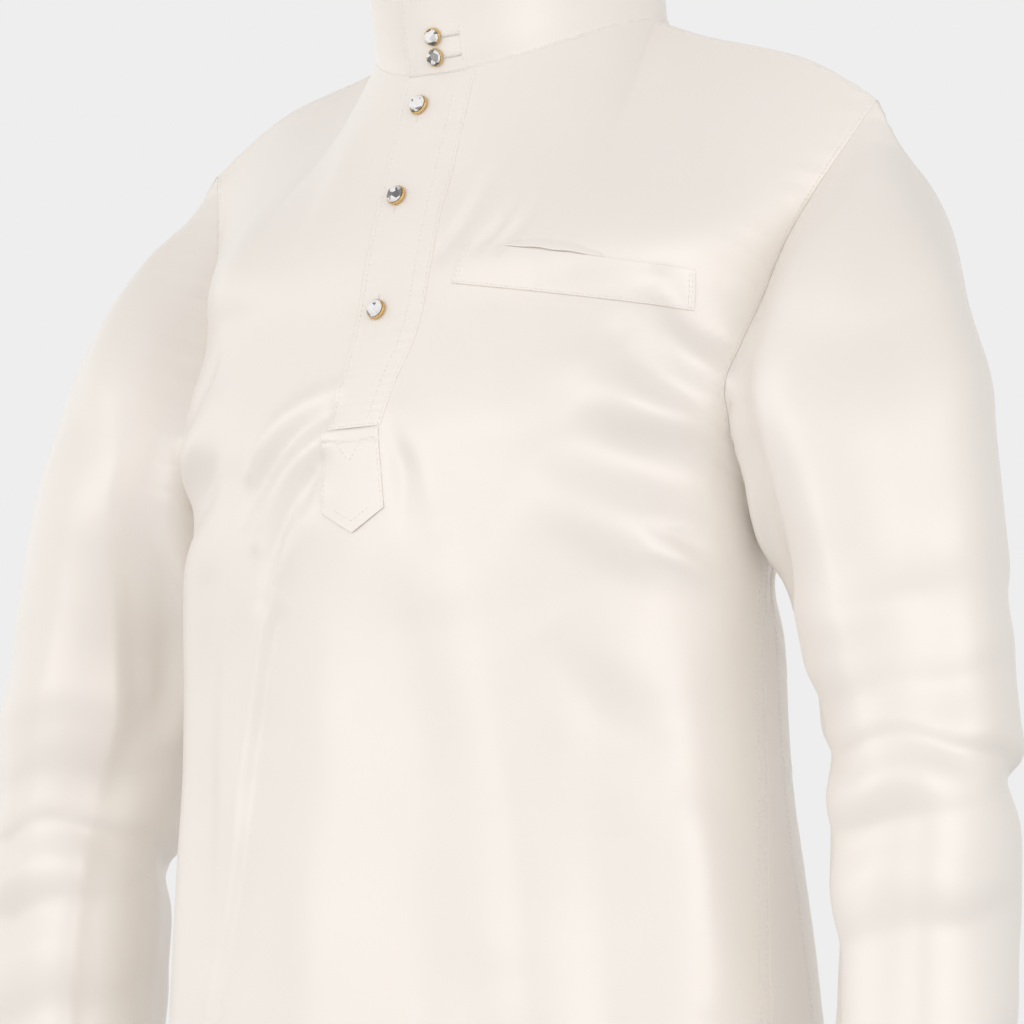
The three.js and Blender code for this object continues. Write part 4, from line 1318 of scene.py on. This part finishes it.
def make_trousers():
    left = leg_panel()
    legs = {"left": left, "right": Panel(mirrored(left.grid))}
    add_folds(list(legs.values()), [leg_lift, leg_lift])
    rows = make_waistband()
    for name, panel in legs.items():
        sheet_piece(f"trouser_leg_{name}_cloth", panel, f"trouser_leg_{name}")
        rows += edge_stitches(panel, ("bottom", CUFF_HEM_DEPTH), ("left", SIDE_SEAM_INSET))
    sew("trouser_stitches", rows)


# Floor, light and camera


def make_stage():
    mesh = bpy.data.meshes.new("floor")
    corners = [(-1, -1), (1, -1), (1, 1), (-1, 1)]
    points = [(x * FLOOR_HALF, y * FLOOR_HALF, FLOOR_LEVEL) for x, y in corners]
    mesh.from_pydata(points, [], [(0, 1, 2, 3)])
    material, _, _, shader = node_material("pale_floor")
    set_inputs(shader, {"Base Color": (0.8, 0.8, 0.8, 1), "Roughness": 0.9})
    mesh.materials.append(material)
    linked("floor", mesh)


def looking(place, aim):
    """The turn of a light or camera that looks from a place at an aim"""
    return (aim - place).to_track_quat("-Z", "Y").to_euler()


def area_light(name, place, aim, size, power, colour):
    data = bpy.data.lights.new(name, "AREA")
    data.shape = "SQUARE"
    data.size = size
    data.energy = power
    data.color = colour
    light = linked(name, data)
    light.location = place
    light.rotation_euler = looking(Vector(place), Vector(aim))


def zero_to_one(nodes, links, value):
    """Brings a value between -1 and 1 to between 0 and 1"""
    spread = nodes.new("ShaderNodeMapRange")
    set_inputs(spread, {"From Min": -1.0, "From Max": 1.0})
    links.new(value, spread.inputs["Value"])
    return spread.outputs["Result"]


def make_world():
    """Plain pale backdrop; around it a room bright in front and dim above and at the side"""
    world = bpy.data.worlds.new("studio")
    world.use_nodes = True
    nodes, links = world.node_tree.nodes, world.node_tree.links
    place = nodes.new("ShaderNodeTexCoord")
    parts = nodes.new("ShaderNodeSeparateXYZ")
    links.new(place.outputs["Generated"], parts.inputs["Vector"])
    facing = nodes.new("ShaderNodeVectorMath")
    facing.operation = "DOT_PRODUCT"
    facing.inputs[1].default_value = (-0.45, -0.88, 0.1)
    links.new(place.outputs["Generated"], facing.inputs[0])
    side = ramp_node(nodes, links, zero_to_one(nodes, links, facing.outputs["Value"]),
                     (0.04, (0.74, 0.73, 0.72)), (0.24, (1.1, 1.09, 1.07)),
                     (0.5, (1.26, 1.24, 1.22)), (0.85, (1.2, 1.18, 1.16)))
    up = ramp_node(nodes, links, zero_to_one(nodes, links, parts.outputs["Z"]),
                   (0.3, (1.0, 1.0, 1.0)), (0.62, (1.0, 1.0, 1.0)), (0.84, (0.55, 0.55, 0.56)))
    blend = nodes.new("ShaderNodeVectorMath")
    blend.operation = "MULTIPLY"
    links.new(side, blend.inputs[0])
    links.new(up, blend.inputs[1])
    ray = nodes.new("ShaderNodeLightPath")
    room = nodes["Background"]
    links.new(blend.outputs["Vector"], room.inputs["Color"])
    backdrop = nodes.new("ShaderNodeBackground")
    backdrop.inputs["Color"].default_value = (0.855, 0.855, 0.855, 1)
    mix = nodes.new("ShaderNodeMixShader")
    links.new(ray.outputs["Is Camera Ray"], mix.inputs["Fac"])
    links.new(room.outputs["Background"], mix.inputs[1])
    links.new(backdrop.outputs["Background"], mix.inputs[2])
    links.new(mix.outputs["Shader"], nodes["World Output"].inputs["Surface"])
    bpy.context.scene.world = world
    bpy.context.scene.view_settings.view_transform = "Standard"


def make_lights():
    area_light("key", (-0.9, -2.6, 0.1), (0, 0, -0.35), 1.8, 7, (1.0, 0.96, 0.9))
    area_light("fill", (3.2, -1.8, 0.1), (0.1, 0, -0.6), 2.0, 14, (1.0, 0.98, 0.96))


def make_camera():
    a = math.radians(CAMERA_AZIMUTH)
    e = math.radians(CAMERA_ELEVATION)
    back = Vector((math.sin(a) * math.cos(e), -math.cos(a) * math.cos(e), math.sin(e)))
    right = Vector((math.cos(a), math.sin(a), 0))
    up = back.cross(right)
    aim = right * AIM_ACROSS + up * AIM_UP
    data = bpy.data.cameras.new("camera")
    data.sensor_width = FRAME_SENSOR
    data.lens = FRAME_SENSOR * CAMERA_DISTANCE / FRAME_WIDTH
    camera = linked("camera", data)
    camera.location = aim + back * CAMERA_DISTANCE
    camera.rotation_euler = looking(camera.location, aim)
    bpy.context.scene.camera = camera


make_camera()
make_world()
make_lights()
make_stage()
tunic = make_tunic()
sew_tunic(tunic)
placket_panel = make_placket(tunic["front_panel"])
make_tab(tunic["front_panel"])
make_welt(tunic["front_panel"])
make_mouth(tunic["front_panel"])
make_collar()
make_studs(placket_panel)
make_trousers()
